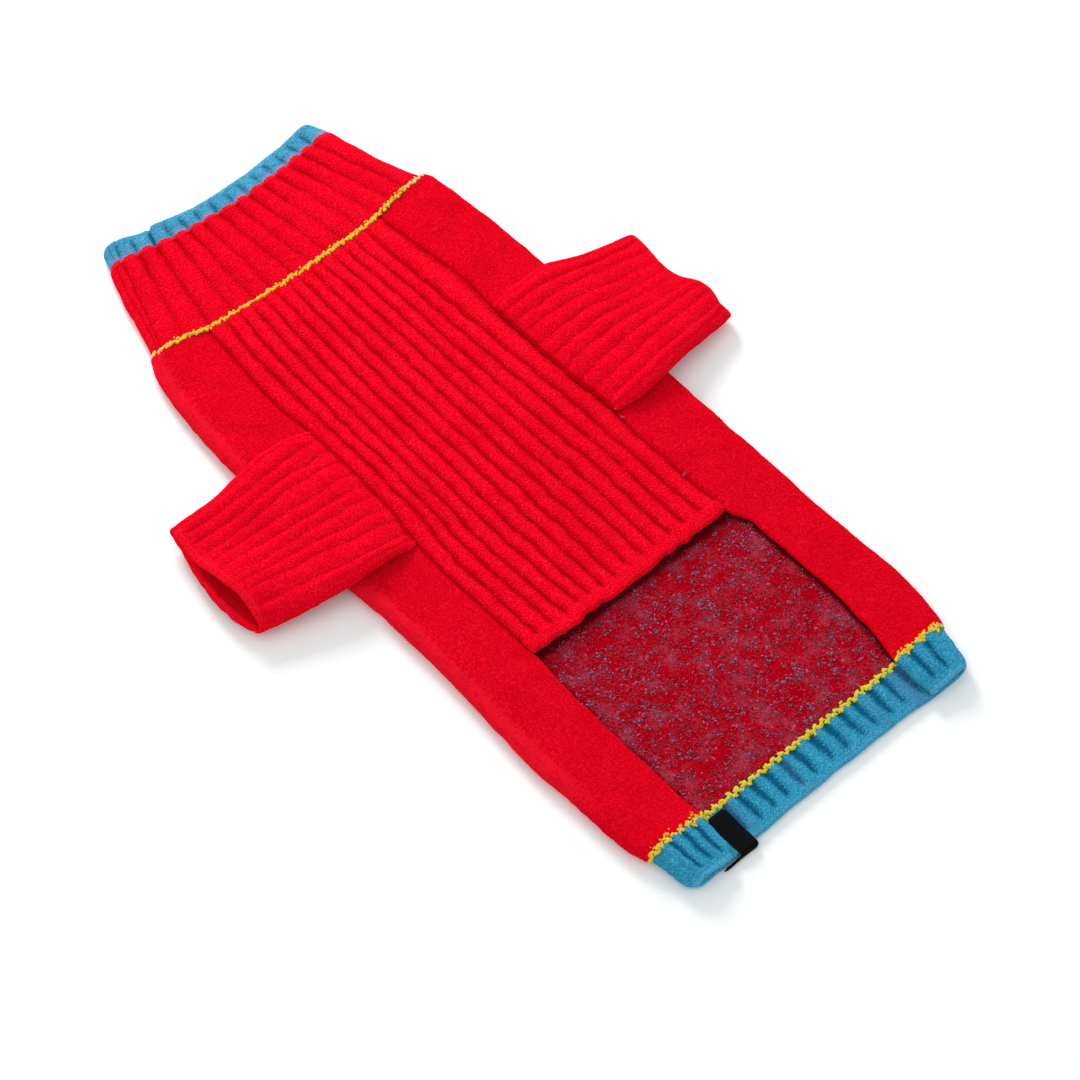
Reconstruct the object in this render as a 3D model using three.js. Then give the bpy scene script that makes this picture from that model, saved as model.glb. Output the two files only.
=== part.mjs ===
// Dog sweater laid flat on its back panel, belly side up, as a wall of cloth for each sewn piece.
// Millimetres, +Z up, +Y toward the neck, +X across. The tables are measured from the middle of the
// belly panel (x = 0) and from a line just behind the leg sleeves (y = 0).

import * as THREE from 'three';

// Driving dimensions
const ORIGIN = { x: -4.2, y: 33.2 }; // middle of the laid-out outline, where the part's own origin is
const JERSEY_WALL = 2.6;             // plain felted knit
const RIB_WALL = 2.2;                // rib knit, measured in a furrow
const RIB_RISE = 1.2;                // a rib above its furrows
const SEAM_GAP = 0.3;
const NECK_SEAM_Y = 181;             // collar to body, nominal
const HEM_SEAM_Y = -163.5;           // body to hem border
const HEM_END_Y = -186;
const FOLD_HEIGHT = 7.8;             // body at its side folds
const FLAP_EDGE_TOP = 5.8;           // upper face of a flap along its sewn edge
const FOLD_RADIUS_X = 5.5;           // side folds are flattened half rounds
const BELLY_UNDERSIDE = 3;           // belly panel lies on the back panel
const ARMHOLE_DEPTH = 12;            // how far the leg holes cut into the flaps
const ARMHOLES = { left: { middle: 60, half: 42 }, right: { middle: 58.5, half: 45 } };
const HEM_RIB_RISE = 1;
const LABEL = { left: -56.9, right: -47, tail: -66.4, top: -165.7, end: -186.5, wall: 0.8, lift: 0.3 };

// Where the body's side folds reach, from the hem up to the neck
const BODY_SIDES = [
  { y: -166, left: -87.7, right: 86.5 },
  { y: -156, left: -91, right: 89 },
  { y: -145, left: -92.5, right: 91 },
  { y: -125, left: -93.7, right: 92 },
  { y: -95, left: -95.4, right: 90.6 },
  { y: -50, left: -94.2, right: 90.6 },
  { y: 0, left: -94.8, right: 90.5 },
  { y: 20, left: -96.7, right: 91 },
  { y: 60, left: -97.2, right: 91 },
  { y: 100, left: -97.5, right: 90.6 },
  { y: 130, left: -96.2, right: 90 },
  { y: 150, left: -95, right: 89 },
  { y: 165, left: -92.7, right: 88 },
  { y: 176, left: -89.5, right: 86.5 },
  { y: 184, left: -85.5, right: 83.5 },
];

// Where the flaps end: the seams with the belly panel, then the free edges beside the cut-out
const FLAP_EDGES = [
  { y: -164, left: -57, right: 57.2 },
  { y: -145, left: -57.8, right: 60.8 },
  { y: -120, left: -58.5, right: 62.7 },
  { y: -80, left: -58.7, right: 62 },
  { y: -68, left: -58.3, right: 61.6 },
  { y: -58, left: -58, right: 57.3 },
  { y: 0, left: -60, right: 55 },
  { y: 25, left: -59.5, right: 55.5 },
  { y: 45, left: -57, right: 53.5 },
  { y: 95, left: -57, right: 53.5 },
  { y: 125, left: -59, right: 55 },
  { y: 150, left: -57.5, right: 52 },
  { y: 182, left: -55.5, right: 48.5 },
];

// The belly panel's 13 furrows, each followed from the neck seam to the end
const BELLY_FURROW_YS = [-50, 0, 40, 150, 172];
const BELLY_FURROWS = [
  { end: -50.5, rear: -52, middle: -49, front: -49.5, neck: -47 },
  { end: -42, rear: -44.5, middle: -43, front: -41.5, neck: -39.5 },
  { end: -34.5, rear: -37, middle: -36, front: -33.5, neck: -32 },
  { end: -26.5, rear: -29, middle: -29, front: -26.5, neck: -24.5 },
  { end: -20, rear: -21.5, middle: -21.5, front: -19, neck: -18 },
  { end: -12.5, rear: -13, middle: -13.5, front: -11.5, neck: -10.5 },
  { end: -5, rear: -5, middle: -6, front: -4.5, neck: -3.5 },
  { end: 3.5, rear: 3, middle: 2.5, front: 3, neck: 3.5 },
  { end: 12, rear: 11.5, middle: 10, front: 10.5, neck: 10 },
  { end: 20, rear: 20, middle: 18.5, front: 17.5, neck: 16.5 },
  { end: 29, rear: 28.5, middle: 26.5, front: 24.5, neck: 23.5 },
  { end: 37.5, rear: 37, middle: 35.5, front: 31.5, neck: 30.5 },
  { end: 46.5, rear: 45.5, middle: 44, front: 38.5, neck: 38 },
];

// Edges that run across: the neck seam, the collar's colour change and its end, and the hem's end
const NECK_SEAM = [
  { x: -87, y: 182.5 }, { x: -70, y: 182 }, { x: -52, y: 179 }, { x: -20, y: 177.8 },
  { x: 20, y: 178.4 }, { x: 42, y: 179.6 }, { x: 60, y: 183.4 }, { x: 85, y: 186 },
];
const COLLAR_END = [
  { x: -72, y: 239 }, { x: -50, y: 237 }, { x: -33, y: 234 }, { x: 0, y: 232.3 },
  { x: 30, y: 234 }, { x: 50, y: 236.5 }, { x: 67, y: 239 },
];
const NECK_END = [
  { x: -68, y: 251 }, { x: -61, y: 252.8 }, { x: -50, y: 251 }, { x: -44, y: 248.6 },
  { x: -36, y: 249 }, { x: -18, y: 245.4 }, { x: 0, y: 245 }, { x: 20, y: 246 },
  { x: 40, y: 248.4 }, { x: 58, y: 251.6 }, { x: 66, y: 250 },
];
const HEM_END = [
  { x: -88, y: -185.5 }, { x: -66, y: -186 }, { x: -45, y: -184.6 }, { x: 0, y: -184 },
  { x: 45, y: -184.6 }, { x: 60, y: -186 }, { x: 88, y: -185.5 },
];

// The collar narrows from its seam to its end; a row for each ring
const COLLAR_SIDES = [
  { y: 184, left: -85.5, right: 82.8 },
  { y: 192, left: -82.7, right: 79.5 },
  { y: 202, left: -79.7, right: 76 },
  { y: 212, left: -77.2, right: 73 },
  { y: 222, left: -74.7, right: 70.5 },
  { y: 237, left: -69.7, right: 67 },
];
const NECK_FURROWS = [
  { base: -80, end: -62 }, { base: -67, end: -53.5 }, { base: -54, end: -44 },
  { base: -40, end: -34.5 }, { base: -28, end: -26 }, { base: -17, end: -17.5 },
  { base: -4, end: -8.5 }, { base: 6, end: 1 }, { base: 16, end: 10 }, { base: 27, end: 19 },
  { base: 39, end: 28 }, { base: 50, end: 37 }, { base: 61, end: 45.5 }, { base: 71, end: 54 },
];
const BORDER_SIDES = [
  { share: 0, left: -69.2, right: 66.5 },
  { share: 0.5, left: -67, right: 64.8 },
  { share: 0.85, left: -65, right: 62.8 },
  { share: 1, left: -62.8, right: 60.5 },
];

const HEM_SIDES = [
  { share: 0, left: -87.2, right: 86 },
  { share: 0.6, left: -85, right: 82.5 },
  { share: 0.85, left: -83.7, right: 81.5 },
  { share: 1, left: -80.5, right: 79 },
];
const HEM_FLAP_FURROWS = { left: [-64, -70, -77], right: [65, 73] };
const HEM_BACK_FURROWS = [-38.5, -30.5, -22.5, -13.5, -5.5, 4.5, 13, 22.5, 30, 39.5, 47.5];

// Leg sleeves: rings from the armhole out to the cuff. Furrows run from root to cuff, front first.
const LEFT_SLEEVE = {
  name: 'sleeve_left',
  side: 'left',
  cuff: [
    { y: 31, over: -140.3, under: -141.9 },
    { y: 41, over: -139.2, under: -145.3 },
    { y: 49, over: -138.6, under: -146 },
    { y: 63, over: -140.3, under: -145.4 },
    { y: 76, over: -141.5, under: -143.4 },
    { y: 89, over: -140.3, under: -140.6 },
    { y: 98, over: -138.2, under: -138.6 },
  ],
  mouth: { height: 6.4, middle: 52, half: 32 },
  rings: [
    { share: 0, front: 101, rear: 19, over: 7.2, under: 6.3, rib: 0.15 },
    { share: 0.16, front: 102.4, rear: 19.3, over: 11.6, under: 7.9, rib: 0.5 },
    { share: 0.34, front: 101.8, rear: 19, over: 13.5, under: 9.3, rib: 1 },
    { share: 0.5, front: 99.2, rear: 19.8, over: 14.1, under: 8.9, rib: 1 },
    { share: 0.67, front: 97.4, rear: 22.3, over: 12.9, under: 6.9, rib: 1 },
    { share: 0.85, front: 98.2, rear: 25.5, over: 11, under: 5.2, rib: 1 },
    { share: 1, front: 98.6, rear: 29, over: 9.4, under: 4.2, rib: 1 },
  ],
  furrows: [
    { root: 94, near: 90, far: 87.5, cuff: 90.2 },
    { root: 85, near: 82.5, far: 81, cuff: 82.2 },
    { root: 77, near: 76.5, far: 74, cuff: 75.2 },
    { root: 68, near: 66.8, far: 67.8, cuff: 69.2 },
    { root: 59.5, near: 59.3, far: 61.2, cuff: 63.2 },
    { root: 52, near: 52.5, far: 53.8, cuff: 55.5 },
    { root: 43, near: 44.5, far: 48, cuff: 51.5 },
    { root: 35, near: 37.5, far: 42, cuff: 46.8 },
    { root: 26, near: 27.5, far: 32.5, cuff: 38.2 },
  ],
};
const RIGHT_SLEEVE = {
  name: 'sleeve_right',
  side: 'right',
  cuff: [
    { y: 24, over: 133, under: 137 },
    { y: 31, over: 135.4, under: 137.2 },
    { y: 38, over: 137.3, under: 136.4 },
    { y: 45, over: 136.2, under: 134.6 },
    { y: 54, over: 131, under: 132 },
    { y: 62, over: 130, under: 131 },
    { y: 72, over: 131.2, under: 131 },
    { y: 90, over: 133.4, under: 132 },
  ],
  mouth: { height: 2, middle: 55, half: 40 },
  rings: [
    { share: 0, front: 102, rear: 15, over: 7.2, under: 6.3, rib: 0.15 },
    { share: 0.17, front: 102, rear: 13, over: 11.6, under: 7.9, rib: 0.5 },
    { share: 0.4, front: 100.7, rear: 14.8, over: 13.9, under: 9.3, rib: 1 },
    { share: 0.52, front: 96.6, rear: 16.5, over: 13.9, under: 8.7, rib: 1 },
    { share: 0.68, front: 93.4, rear: 18.2, over: 12.6, under: 6.6, rib: 1 },
    { share: 0.85, front: 91.6, rear: 20, over: 10.6, under: 5, rib: 1 },
    { share: 1, front: 90, rear: 21.8, over: 9.2, under: 4.2, rib: 1 },
  ],
  furrows: [
    { root: 94, near: 90.5, far: 85, cuff: 83 },
    { root: 86, near: 82.5, far: 79, cuff: 75 },
    { root: 78, near: 74.5, far: 70, cuff: 67.5 },
    { root: 68, near: 66, far: 62.5, cuff: 61 },
    { root: 59, near: 58, far: 56, cuff: 54.5 },
    { root: 49.5, near: 50, far: 48.5, cuff: 48.5 },
    { root: 40, near: 41, far: 42.5, cuff: 43.5 },
    { root: 31, near: 32.5, far: 35, cuff: 38.5 },
    { root: 21.5, near: 23.5, far: 26.3, cuff: 30 },
  ],
};
const SLEEVE_FURROW_SHARES = [0, 0.35, 0.65, 1];
const UNDER_RIBS = 8;

const RED = { color: 0xe8091f, roughness: 0.95, metalness: 0 };
const BLUE = { color: 0x3f9cc6, roughness: 0.95, metalness: 0 };
const BLACK = { color: 0x0c0c0d, roughness: 0.6, metalness: 0 };

// Helpers
const mix = (a, b, share) => a + (b - a) * share;
const clamp01 = (value) => Math.min(1, Math.max(0, value));
const smooth = (share) => { const s = clamp01(share); return s * s * (3 - 2 * s); };

// A table's column at any place between its rows, on a smooth curve through them
function column(table, by, name, at) {
  const last = table.length - 1;
  let k = 0;
  while (k < last - 1 && at > table[k + 1][by]) k += 1;
  const slope = (row) => {
    const before = table[Math.max(row - 1, 0)];
    const after = table[Math.min(row + 1, last)];
    return (after[name] - before[name]) / (after[by] - before[by]);
  };
  const span = table[k + 1][by] - table[k][by];
  const w = clamp01((at - table[k][by]) / span);
  const fromStart = w * w * (3 - 2 * w);
  const startSlope = w * (1 - w) * (1 - w) * span * slope(k);
  const endSlope = w * w * (w - 1) * span * slope(k + 1);
  return mix(table[k][name], table[k + 1][name], fromStart) + startSlope + endSlope;
}

// The same for one row of values given at fixed places
function betweenValues(places, values, at) {
  return column(places.map((place, k) => ({ place, value: values[k] })), 'place', 'value', at);
}

// A rib from furrow (0) over its crest to the next furrow (1)
const ribShape = (w) => Math.sin(Math.PI * w) ** 0.55;
const RIB_SAMPLES = [0, 0.27, 0.73];

// Points across a run of ribs, given the furrows between them and both ends
function ribRun(furrows) {
  const run = [];
  for (let k = 0; k + 1 < furrows.length; k += 1) {
    for (const w of RIB_SAMPLES) run.push({ at: mix(furrows[k], furrows[k + 1], w), rise: ribShape(w) });
  }
  run.push({ at: furrows[furrows.length - 1], rise: 0 });
  return run;
}

// A closed wall between an outer and an inner grid of points; in a ring the columns meet again
function wall(name, finish, outer, inner, ring) {
  const rows = outer.length;
  const columns = outer[0].length;
  const spans = ring ? columns : columns - 1;
  const positions = [];
  for (const [x, y, z] of [...outer.flat(), ...inner.flat()]) positions.push(x - ORIGIN.x, y - ORIGIN.y, z);
  const out = (i, j) => i * columns + (j % columns);
  const inside = (i, j) => rows * columns + out(i, j);
  const triangles = [];
  const quad = (a, b, c, d) => triangles.push([a, b, c], [a, c, d]);
  for (let i = 0; i + 1 < rows; i += 1) {
    for (let j = 0; j < spans; j += 1) {
      quad(out(i, j), out(i, j + 1), out(i + 1, j + 1), out(i + 1, j));
      quad(inside(i, j), inside(i + 1, j), inside(i + 1, j + 1), inside(i, j + 1));
    }
  }
  for (let j = 0; j < spans; j += 1) {
    quad(out(0, j), inside(0, j), inside(0, j + 1), out(0, j + 1));
    quad(out(rows - 1, j), out(rows - 1, j + 1), inside(rows - 1, j + 1), inside(rows - 1, j));
  }
  if (!ring) {
    for (let i = 0; i + 1 < rows; i += 1) {
      quad(out(i, 0), out(i + 1, 0), inside(i + 1, 0), inside(i, 0));
      quad(out(i, columns - 1), inside(i, columns - 1), inside(i + 1, columns - 1), out(i + 1, columns - 1));
    }
  }
  const point = (k) => new THREE.Vector3().fromArray(positions, 3 * k);
  const volume = triangles.reduce((sum, [a, b, c]) => sum + point(a).dot(point(b).cross(point(c))), 0);
  const index = triangles.flatMap(([a, b, c]) => (volume > 0 ? [a, b, c] : [a, c, b]));
  const geometry = new THREE.BufferGeometry();
  geometry.setAttribute('position', new THREE.Float32BufferAttribute(positions, 3));
  geometry.setIndex(index);
  geometry.computeVertexNormals();
  const mesh = new THREE.Mesh(geometry, new THREE.MeshStandardMaterial(finish));
  mesh.name = name;
  return mesh;
}

// Low, slow unevenness of cloth that has been put down by hand: a broad swell and a shorter ripple
function unevenness(x, y) {
  const swell = 0.3 * Math.sin(x / 27 + 1.1) * Math.sin(y / 41 + 0.4);
  const ripple = 0.2 * Math.sin(y / 17 + x / 60);
  return swell + ripple;
}

// How deep the armhole notches cut into the flaps at a place along the body
function notch(y, side) {
  const q = Math.abs(y - ARMHOLES[side].middle) / ARMHOLES[side].half;
  return q >= 1 ? 0 : ARMHOLE_DEPTH * Math.sqrt(1 - q ** 4);
}

// The neck seam waves on the upper layer and runs straight on the layer that lies on the floor
const UPPER_LAYER_Z = 5;

function neckSeamY(x, z) {
  const first = NECK_SEAM[0];
  const last = NECK_SEAM[NECK_SEAM.length - 1];
  const straight = mix(first.y, last.y, (x - first.x) / (last.x - first.x));
  return mix(straight, column(NECK_SEAM, 'x', 'y', x), clamp01(z / UPPER_LAYER_Z));
}

const collarEndY = (x) => column(COLLAR_END, 'x', 'y', x);
const neckEndY = (x) => column(NECK_END, 'x', 'y', x);
const hemEndY = (x) => column(HEM_END, 'x', 'y', x);

// Shift of a body row at its neck end, so that the row there follows the wavy neck seam
const NECK_SHIFT_START_Y = 140;

function neckShift(x, y, z) {
  const share = smooth((y - NECK_SHIFT_START_Y) / (NECK_SEAM_Y - NECK_SHIFT_START_Y));
  return (neckSeamY(x, z) - NECK_SEAM_Y) * share;
}

// Flap top: highest at the fold, lower along the sewn edge
function flapTop(x, y, edge, foldStart) {
  const share = smooth((x - edge) / (foldStart - edge));
  return mix(FLAP_EDGE_TOP, FOLD_HEIGHT, share) + unevenness(x, y) * share * (1 - share) * 3;
}

// Top of the flap and its fold at a place beside the belly panel, and the floor beyond the fold
function bodyTop(x, y, side) {
  const fold = column(BODY_SIDES, 'y', side, y);
  const outward = Math.sign(fold);
  const edge = column(FLAP_EDGES, 'y', side, y) + outward * notch(y, side);
  const foldStart = fold - outward * FOLD_RADIUS_X;
  const pastStart = outward * (x - foldStart);
  if (pastStart <= 0) return flapTop(x, y, edge, foldStart);
  if (pastStart >= FOLD_RADIUS_X) return 0;
  return FOLD_HEIGHT / 2 * (1 + Math.sqrt(1 - (pastStart / FOLD_RADIUS_X) ** 2));
}

// Round a fold, from just past its top down to the floor
const FOLD_ANGLES = [52, 18, -18, -52, -90];

// One side of a laid-out body section, from a flap's free edge round its fold to the floor
function sideSection(y, edge, fold, flapPoints, wallThickness, ribRise) {
  const outward = Math.sign(fold);
  const foldStart = fold - outward * FOLD_RADIUS_X;
  const middle = FOLD_HEIGHT / 2;
  const outer = [];
  const inner = [];
  for (const { at, rise } of flapPoints(edge, foldStart)) {
    const top = flapTop(at, y, edge, foldStart);
    outer.push([at, top + rise * ribRise]);
    inner.push([at, top - wallThickness]);
  }
  for (const degrees of FOLD_ANGLES) {
    const angle = THREE.MathUtils.degToRad(degrees);
    const outX = foldStart + outward * FOLD_RADIUS_X * Math.cos(angle);
    const inX = foldStart + outward * (FOLD_RADIUS_X - wallThickness) * Math.cos(angle);
    outer.push([outX, middle + middle * Math.sin(angle)]);
    inner.push([inX, middle + (middle - wallThickness) * Math.sin(angle)]);
  }
  return { outer, inner };
}

// A whole section: left flap and fold, the back lying on the floor, right fold and flap
function bodySection(left, right, back, wallThickness) {
  const backOuter = back.map(({ at }) => [at, 0]);
  const backInner = back.map(({ at, rise }) => [at, wallThickness + rise * HEM_RIB_RISE]);
  return {
    outer: [...left.outer, ...backOuter, ...right.outer.reverse()],
    inner: [...left.inner, ...backInner, ...right.inner.reverse()],
  };
}

// Back panel
const BACK_ROWS = [
  HEM_SEAM_Y, -156, -145, -125, -95, -67, -58, -53.5, -50, -25, 5, 13.5, 15.2, 18, 20, 24, 33, 45, 60, 77, 89,
  97, 100.4, 102.2, 103.7, 118, 140, 160, 172, NECK_SEAM_Y,
];
const BACK_POINTS = 4;
const FLAP_SHARES = [0, 0.25, 0.5, 0.75, 1];

function plainFlapPoints(edge, foldStart) {
  return FLAP_SHARES.map((share) => ({ at: mix(edge, foldStart, share), rise: 0 }));
}

function backPanel() {
  const outer = [];
  const inner = [];
  for (const row of BACK_ROWS) {
    const foldLeft = column(BODY_SIDES, 'y', 'left', row);
    const foldRight = column(BODY_SIDES, 'y', 'right', row);
    const edgeLeft = column(FLAP_EDGES, 'y', 'left', row) - notch(row, 'left') - SEAM_GAP / 2;
    const edgeRight = column(FLAP_EDGES, 'y', 'right', row) + notch(row, 'right') + SEAM_GAP / 2;
    const left = sideSection(row, edgeLeft, foldLeft, plainFlapPoints, JERSEY_WALL, 0);
    const right = sideSection(row, edgeRight, foldRight, plainFlapPoints, JERSEY_WALL, 0);
    const back = [];
    for (let k = 1; k <= BACK_POINTS; k += 1) {
      const share = k / (BACK_POINTS + 1);
      back.push({ at: mix(foldLeft + FOLD_RADIUS_X, foldRight - FOLD_RADIUS_X, share), rise: 0 });
    }
    const section = bodySection(left, right, back, JERSEY_WALL);
    const gapAtSeam = row === NECK_SEAM_Y ? -SEAM_GAP / 2 : 0;
    // An inner point keeps the y of the outer point over it, so the wall's end is square
    const place = ([x, z], k) => [x, row + neckShift(x, row, section.outer[k][1]) + gapAtSeam, z];
    outer.push(section.outer.map(place));
    inner.push(section.inner.map(place));
  }
  return wall('back_panel', RED, outer, inner, false);
}

// Belly panel: ribbed, except for the plain rolled edge where it ends
const BELLY_ROWS = [-58, -53.5, -50, -25, 5, 13.5, 18, 45, 77, 103.7, 118, 140, 160, 172, NECK_SEAM_Y];
const ROLLED_EDGE = { y: -51, ramp: 2.4, rise: 0.8 };
const BELLY_LIFT = { everywhere: 0.6, atSleeves: 0.9, atEnd: 0.5 };

// How far the belly panel is off the back: more between the sleeves, toward the sides, and at its end
function bellyLift(x, y) {
  const nearSleeve = Math.exp(-(((y - ARMHOLES.left.middle) / 30) ** 2)) * smooth((Math.abs(x) - 15) / 35);
  const nearEnd = smooth((-40 - y) / 18);
  const lift = BELLY_LIFT.everywhere + BELLY_LIFT.atSleeves * nearSleeve + BELLY_LIFT.atEnd * nearEnd;
  return lift + unevenness(x, y);
}

function bellyPanel() {
  const outer = [];
  const inner = [];
  for (const row of BELLY_ROWS) {
    const furrows = BELLY_FURROWS.map((f) => (
      betweenValues(BELLY_FURROW_YS, [f.end, f.rear, f.middle, f.front, f.neck], row)
    ));
    const left = column(FLAP_EDGES, 'y', 'left', row) + SEAM_GAP / 2;
    const right = column(FLAP_EDGES, 'y', 'right', row) - SEAM_GAP / 2;
    const rolled = smooth((ROLLED_EDGE.y - row) / ROLLED_EDGE.ramp);
    const gapAtSeam = row === NECK_SEAM_Y ? -SEAM_GAP / 2 : 0;
    const outerRow = [];
    const innerRow = [];
    for (const { at, rise } of ribRun([left, ...furrows, right])) {
      const y = row + neckShift(at, row, FLAP_EDGE_TOP) + gapAtSeam;
      const under = BELLY_UNDERSIDE + bellyLift(at, row);
      outerRow.push([at, y, under + RIB_WALL + RIB_RISE * mix(rise, ROLLED_EDGE.rise, rolled)]);
      innerRow.push([at, y, under]);
    }
    outer.push(outerRow);
    inner.push(innerRow);
  }
  return wall('belly_panel', RED, outer, inner, false);
}

// Collar and its border: a flattened tube, ribbed above and at the sides, flat where it lies
const COLLAR_ROWS = [0, 0.15, 0.4, 0.7, 1];
const BORDER_ROWS = [0, 0.5, 0.85, 1];
const COLLAR_SPAN = { from: COLLAR_SIDES[0].y, to: COLLAR_SIDES[COLLAR_SIDES.length - 1].y };
const COLLAR_RIB_AT_SEAM = 0.35;     // share of a rib's full rise
const NECK_TOP = { atSides: 6.4, middle: 5.3 };
const NECK_SIDE_RADIUS = 4;
const NECK_SIDE_ANGLES = [45, 0, -45];
const NECK_BACK_SPANS = 6;
const TUBE_SEAM = { furrow: 2, depth: 0.5 }; // the furrow where the tube is joined is deeper than the rest

function neckTop(x, left, right) {
  const acrossShare = (x - left) / (right - left);
  return mix(NECK_TOP.atSides, NECK_TOP.middle, Math.sin(Math.PI * clamp01(acrossShare)) ** 0.5);
}

function neckSection(left, right, furrows, ribFade) {
  const start = left + NECK_SIDE_RADIUS;
  const end = right - NECK_SIDE_RADIUS;
  const outer = [];
  const inner = [];
  for (const { at, rise } of ribRun([start, ...furrows, end])) {
    const top = neckTop(at, left, right);
    const isTubeSeam = rise === 0 && at === furrows[TUBE_SEAM.furrow];
    outer.push([at, top + RIB_RISE * ribFade * rise - (isTubeSeam ? TUBE_SEAM.depth : 0)]);
    inner.push([at, top - RIB_WALL]);
  }
  const addSide = (centreX, outward, angles) => {
    const half = neckTop(centreX, left, right) / 2;
    for (const degrees of angles) {
      const angle = THREE.MathUtils.degToRad(degrees);
      const across = outward * Math.cos(angle);
      const inReach = NECK_SIDE_RADIUS - RIB_WALL;
      outer.push([centreX + NECK_SIDE_RADIUS * across, half + half * Math.sin(angle)]);
      inner.push([centreX + inReach * across, half + (half - RIB_WALL) * Math.sin(angle)]);
    }
  };
  addSide(end, 1, NECK_SIDE_ANGLES);
  for (let k = 0; k <= NECK_BACK_SPANS; k += 1) {
    const x = mix(end, start, k / NECK_BACK_SPANS);
    outer.push([x, 0]);
    inner.push([x, RIB_WALL]);
  }
  addSide(start, -1, [...NECK_SIDE_ANGLES].reverse());
  return { outer, inner };
}

function neckCollar() {
  const outer = [];
  const inner = [];
  for (const share of COLLAR_ROWS) {
    const rowY = mix(COLLAR_SPAN.from, COLLAR_SPAN.to, share);
    const left = column(COLLAR_SIDES, 'y', 'left', rowY);
    const right = column(COLLAR_SIDES, 'y', 'right', rowY);
    const furrows = NECK_FURROWS.map(({ base, end }) => mix(base, end, share));
    const section = neckSection(left, right, furrows, mix(COLLAR_RIB_AT_SEAM, 1, smooth(share * 4)));
    const place = ([x, z], k) => {
      const seam = neckSeamY(x, section.outer[k][1]) + SEAM_GAP / 2;
      const end = collarEndY(x) - SEAM_GAP / 2;
      return [x, mix(seam, end, share), z];
    };
    outer.push(section.outer.map(place));
    inner.push(section.inner.map(place));
  }
  return wall('neck_collar', RED, outer, inner, true);
}

function neckBorder() {
  const outer = [];
  const inner = [];
  const base = BORDER_SIDES[0];
  for (const share of BORDER_ROWS) {
    const left = column(BORDER_SIDES, 'share', 'left', share);
    const right = column(BORDER_SIDES, 'share', 'right', share);
    const narrow = (x) => mix(left, right, (x - base.left) / (base.right - base.left));
    const section = neckSection(left, right, NECK_FURROWS.map(({ end }) => narrow(end)), 1);
    const place = ([x, z]) => [x, mix(collarEndY(x) + SEAM_GAP / 2, neckEndY(x), share), z];
    outer.push(section.outer.map(place));
    inner.push(section.inner.map(place));
  }
  return wall('neck_border', BLUE, outer, inner, true);
}

// Hem border: the back panel's section carried on, ribbed on its flaps and on the inner face that shows
const HEM_ROWS = [0, 0.6, 0.85, 1];
const HEM_EDGES = { left: -58, right: 57.2 };
const LEFT_CORNER = { from: 0.7, out: 3 };    // the left flap's corner curls outward at its end
const HEM_FURROW_NARROWING = 0.97;
const HEM_INNER_RIBS = { from: LABEL.right + 0.6, to: 56 }; // plain under the flaps and the label
const HEM_PLAIN_POINTS = { left: -66, right: 66 };

function hemBorder() {
  const outer = [];
  const inner = [];
  for (const share of HEM_ROWS) {
    const row = mix(HEM_SEAM_Y, HEM_END_Y, share);
    const section = (side, edge) => {
      const lines = HEM_FLAP_FURROWS[side].map((x) => x * mix(1, HEM_FURROW_NARROWING, share));
      const points = (flapEdge, foldStart) => ribRun([flapEdge, ...lines, foldStart]);
      const fold = column(HEM_SIDES, 'share', side, share);
      return sideSection(row, edge, fold, points, RIB_WALL, HEM_RIB_RISE);
    };
    const curl = LEFT_CORNER.out * smooth((share - LEFT_CORNER.from) / (1 - LEFT_CORNER.from));
    const inside = [
      { at: HEM_PLAIN_POINTS.left, rise: 0 },
      ...ribRun([HEM_INNER_RIBS.from, ...HEM_BACK_FURROWS, HEM_INNER_RIBS.to]),
      { at: HEM_PLAIN_POINTS.right, rise: 0 },
    ];
    const left = section('left', HEM_EDGES.left - curl);
    const right = section('right', HEM_EDGES.right);
    const whole = bodySection(left, right, inside, RIB_WALL);
    const place = ([x, z]) => [x, mix(HEM_SEAM_Y - SEAM_GAP, hemEndY(x), share), z];
    outer.push(whole.outer.map(place));
    inner.push(whole.inner.map(place));
  }
  return wall('hem_border', BLUE, outer, inner, false);
}

// Sleeves: flattened ribbed tubes from the armhole over the flap and past the body's side fold
const SLEEVE_SIDE_REACH = 3.6;
const SLEEVE_CLEARANCE = 0.4;
const SLEEVE_SIDE_ANGLES = [50, 0, -50];
const SMALLEST_INNER_HALF = 0.15;    // where a sleeve's side is too thin for two full walls
const SMALLEST_TOP_RIB = 0.6;        // share of a rib's full rise
const UNDER_ROOT_DEPTH = 0.85;       // how far into its notch the lower layer's root lies
const MOUTH_START = 0.6;             // share of the sleeve where its layers begin to part
const MOUTH_SHARES = { over: 0.65, under: 0.25 };

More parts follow.
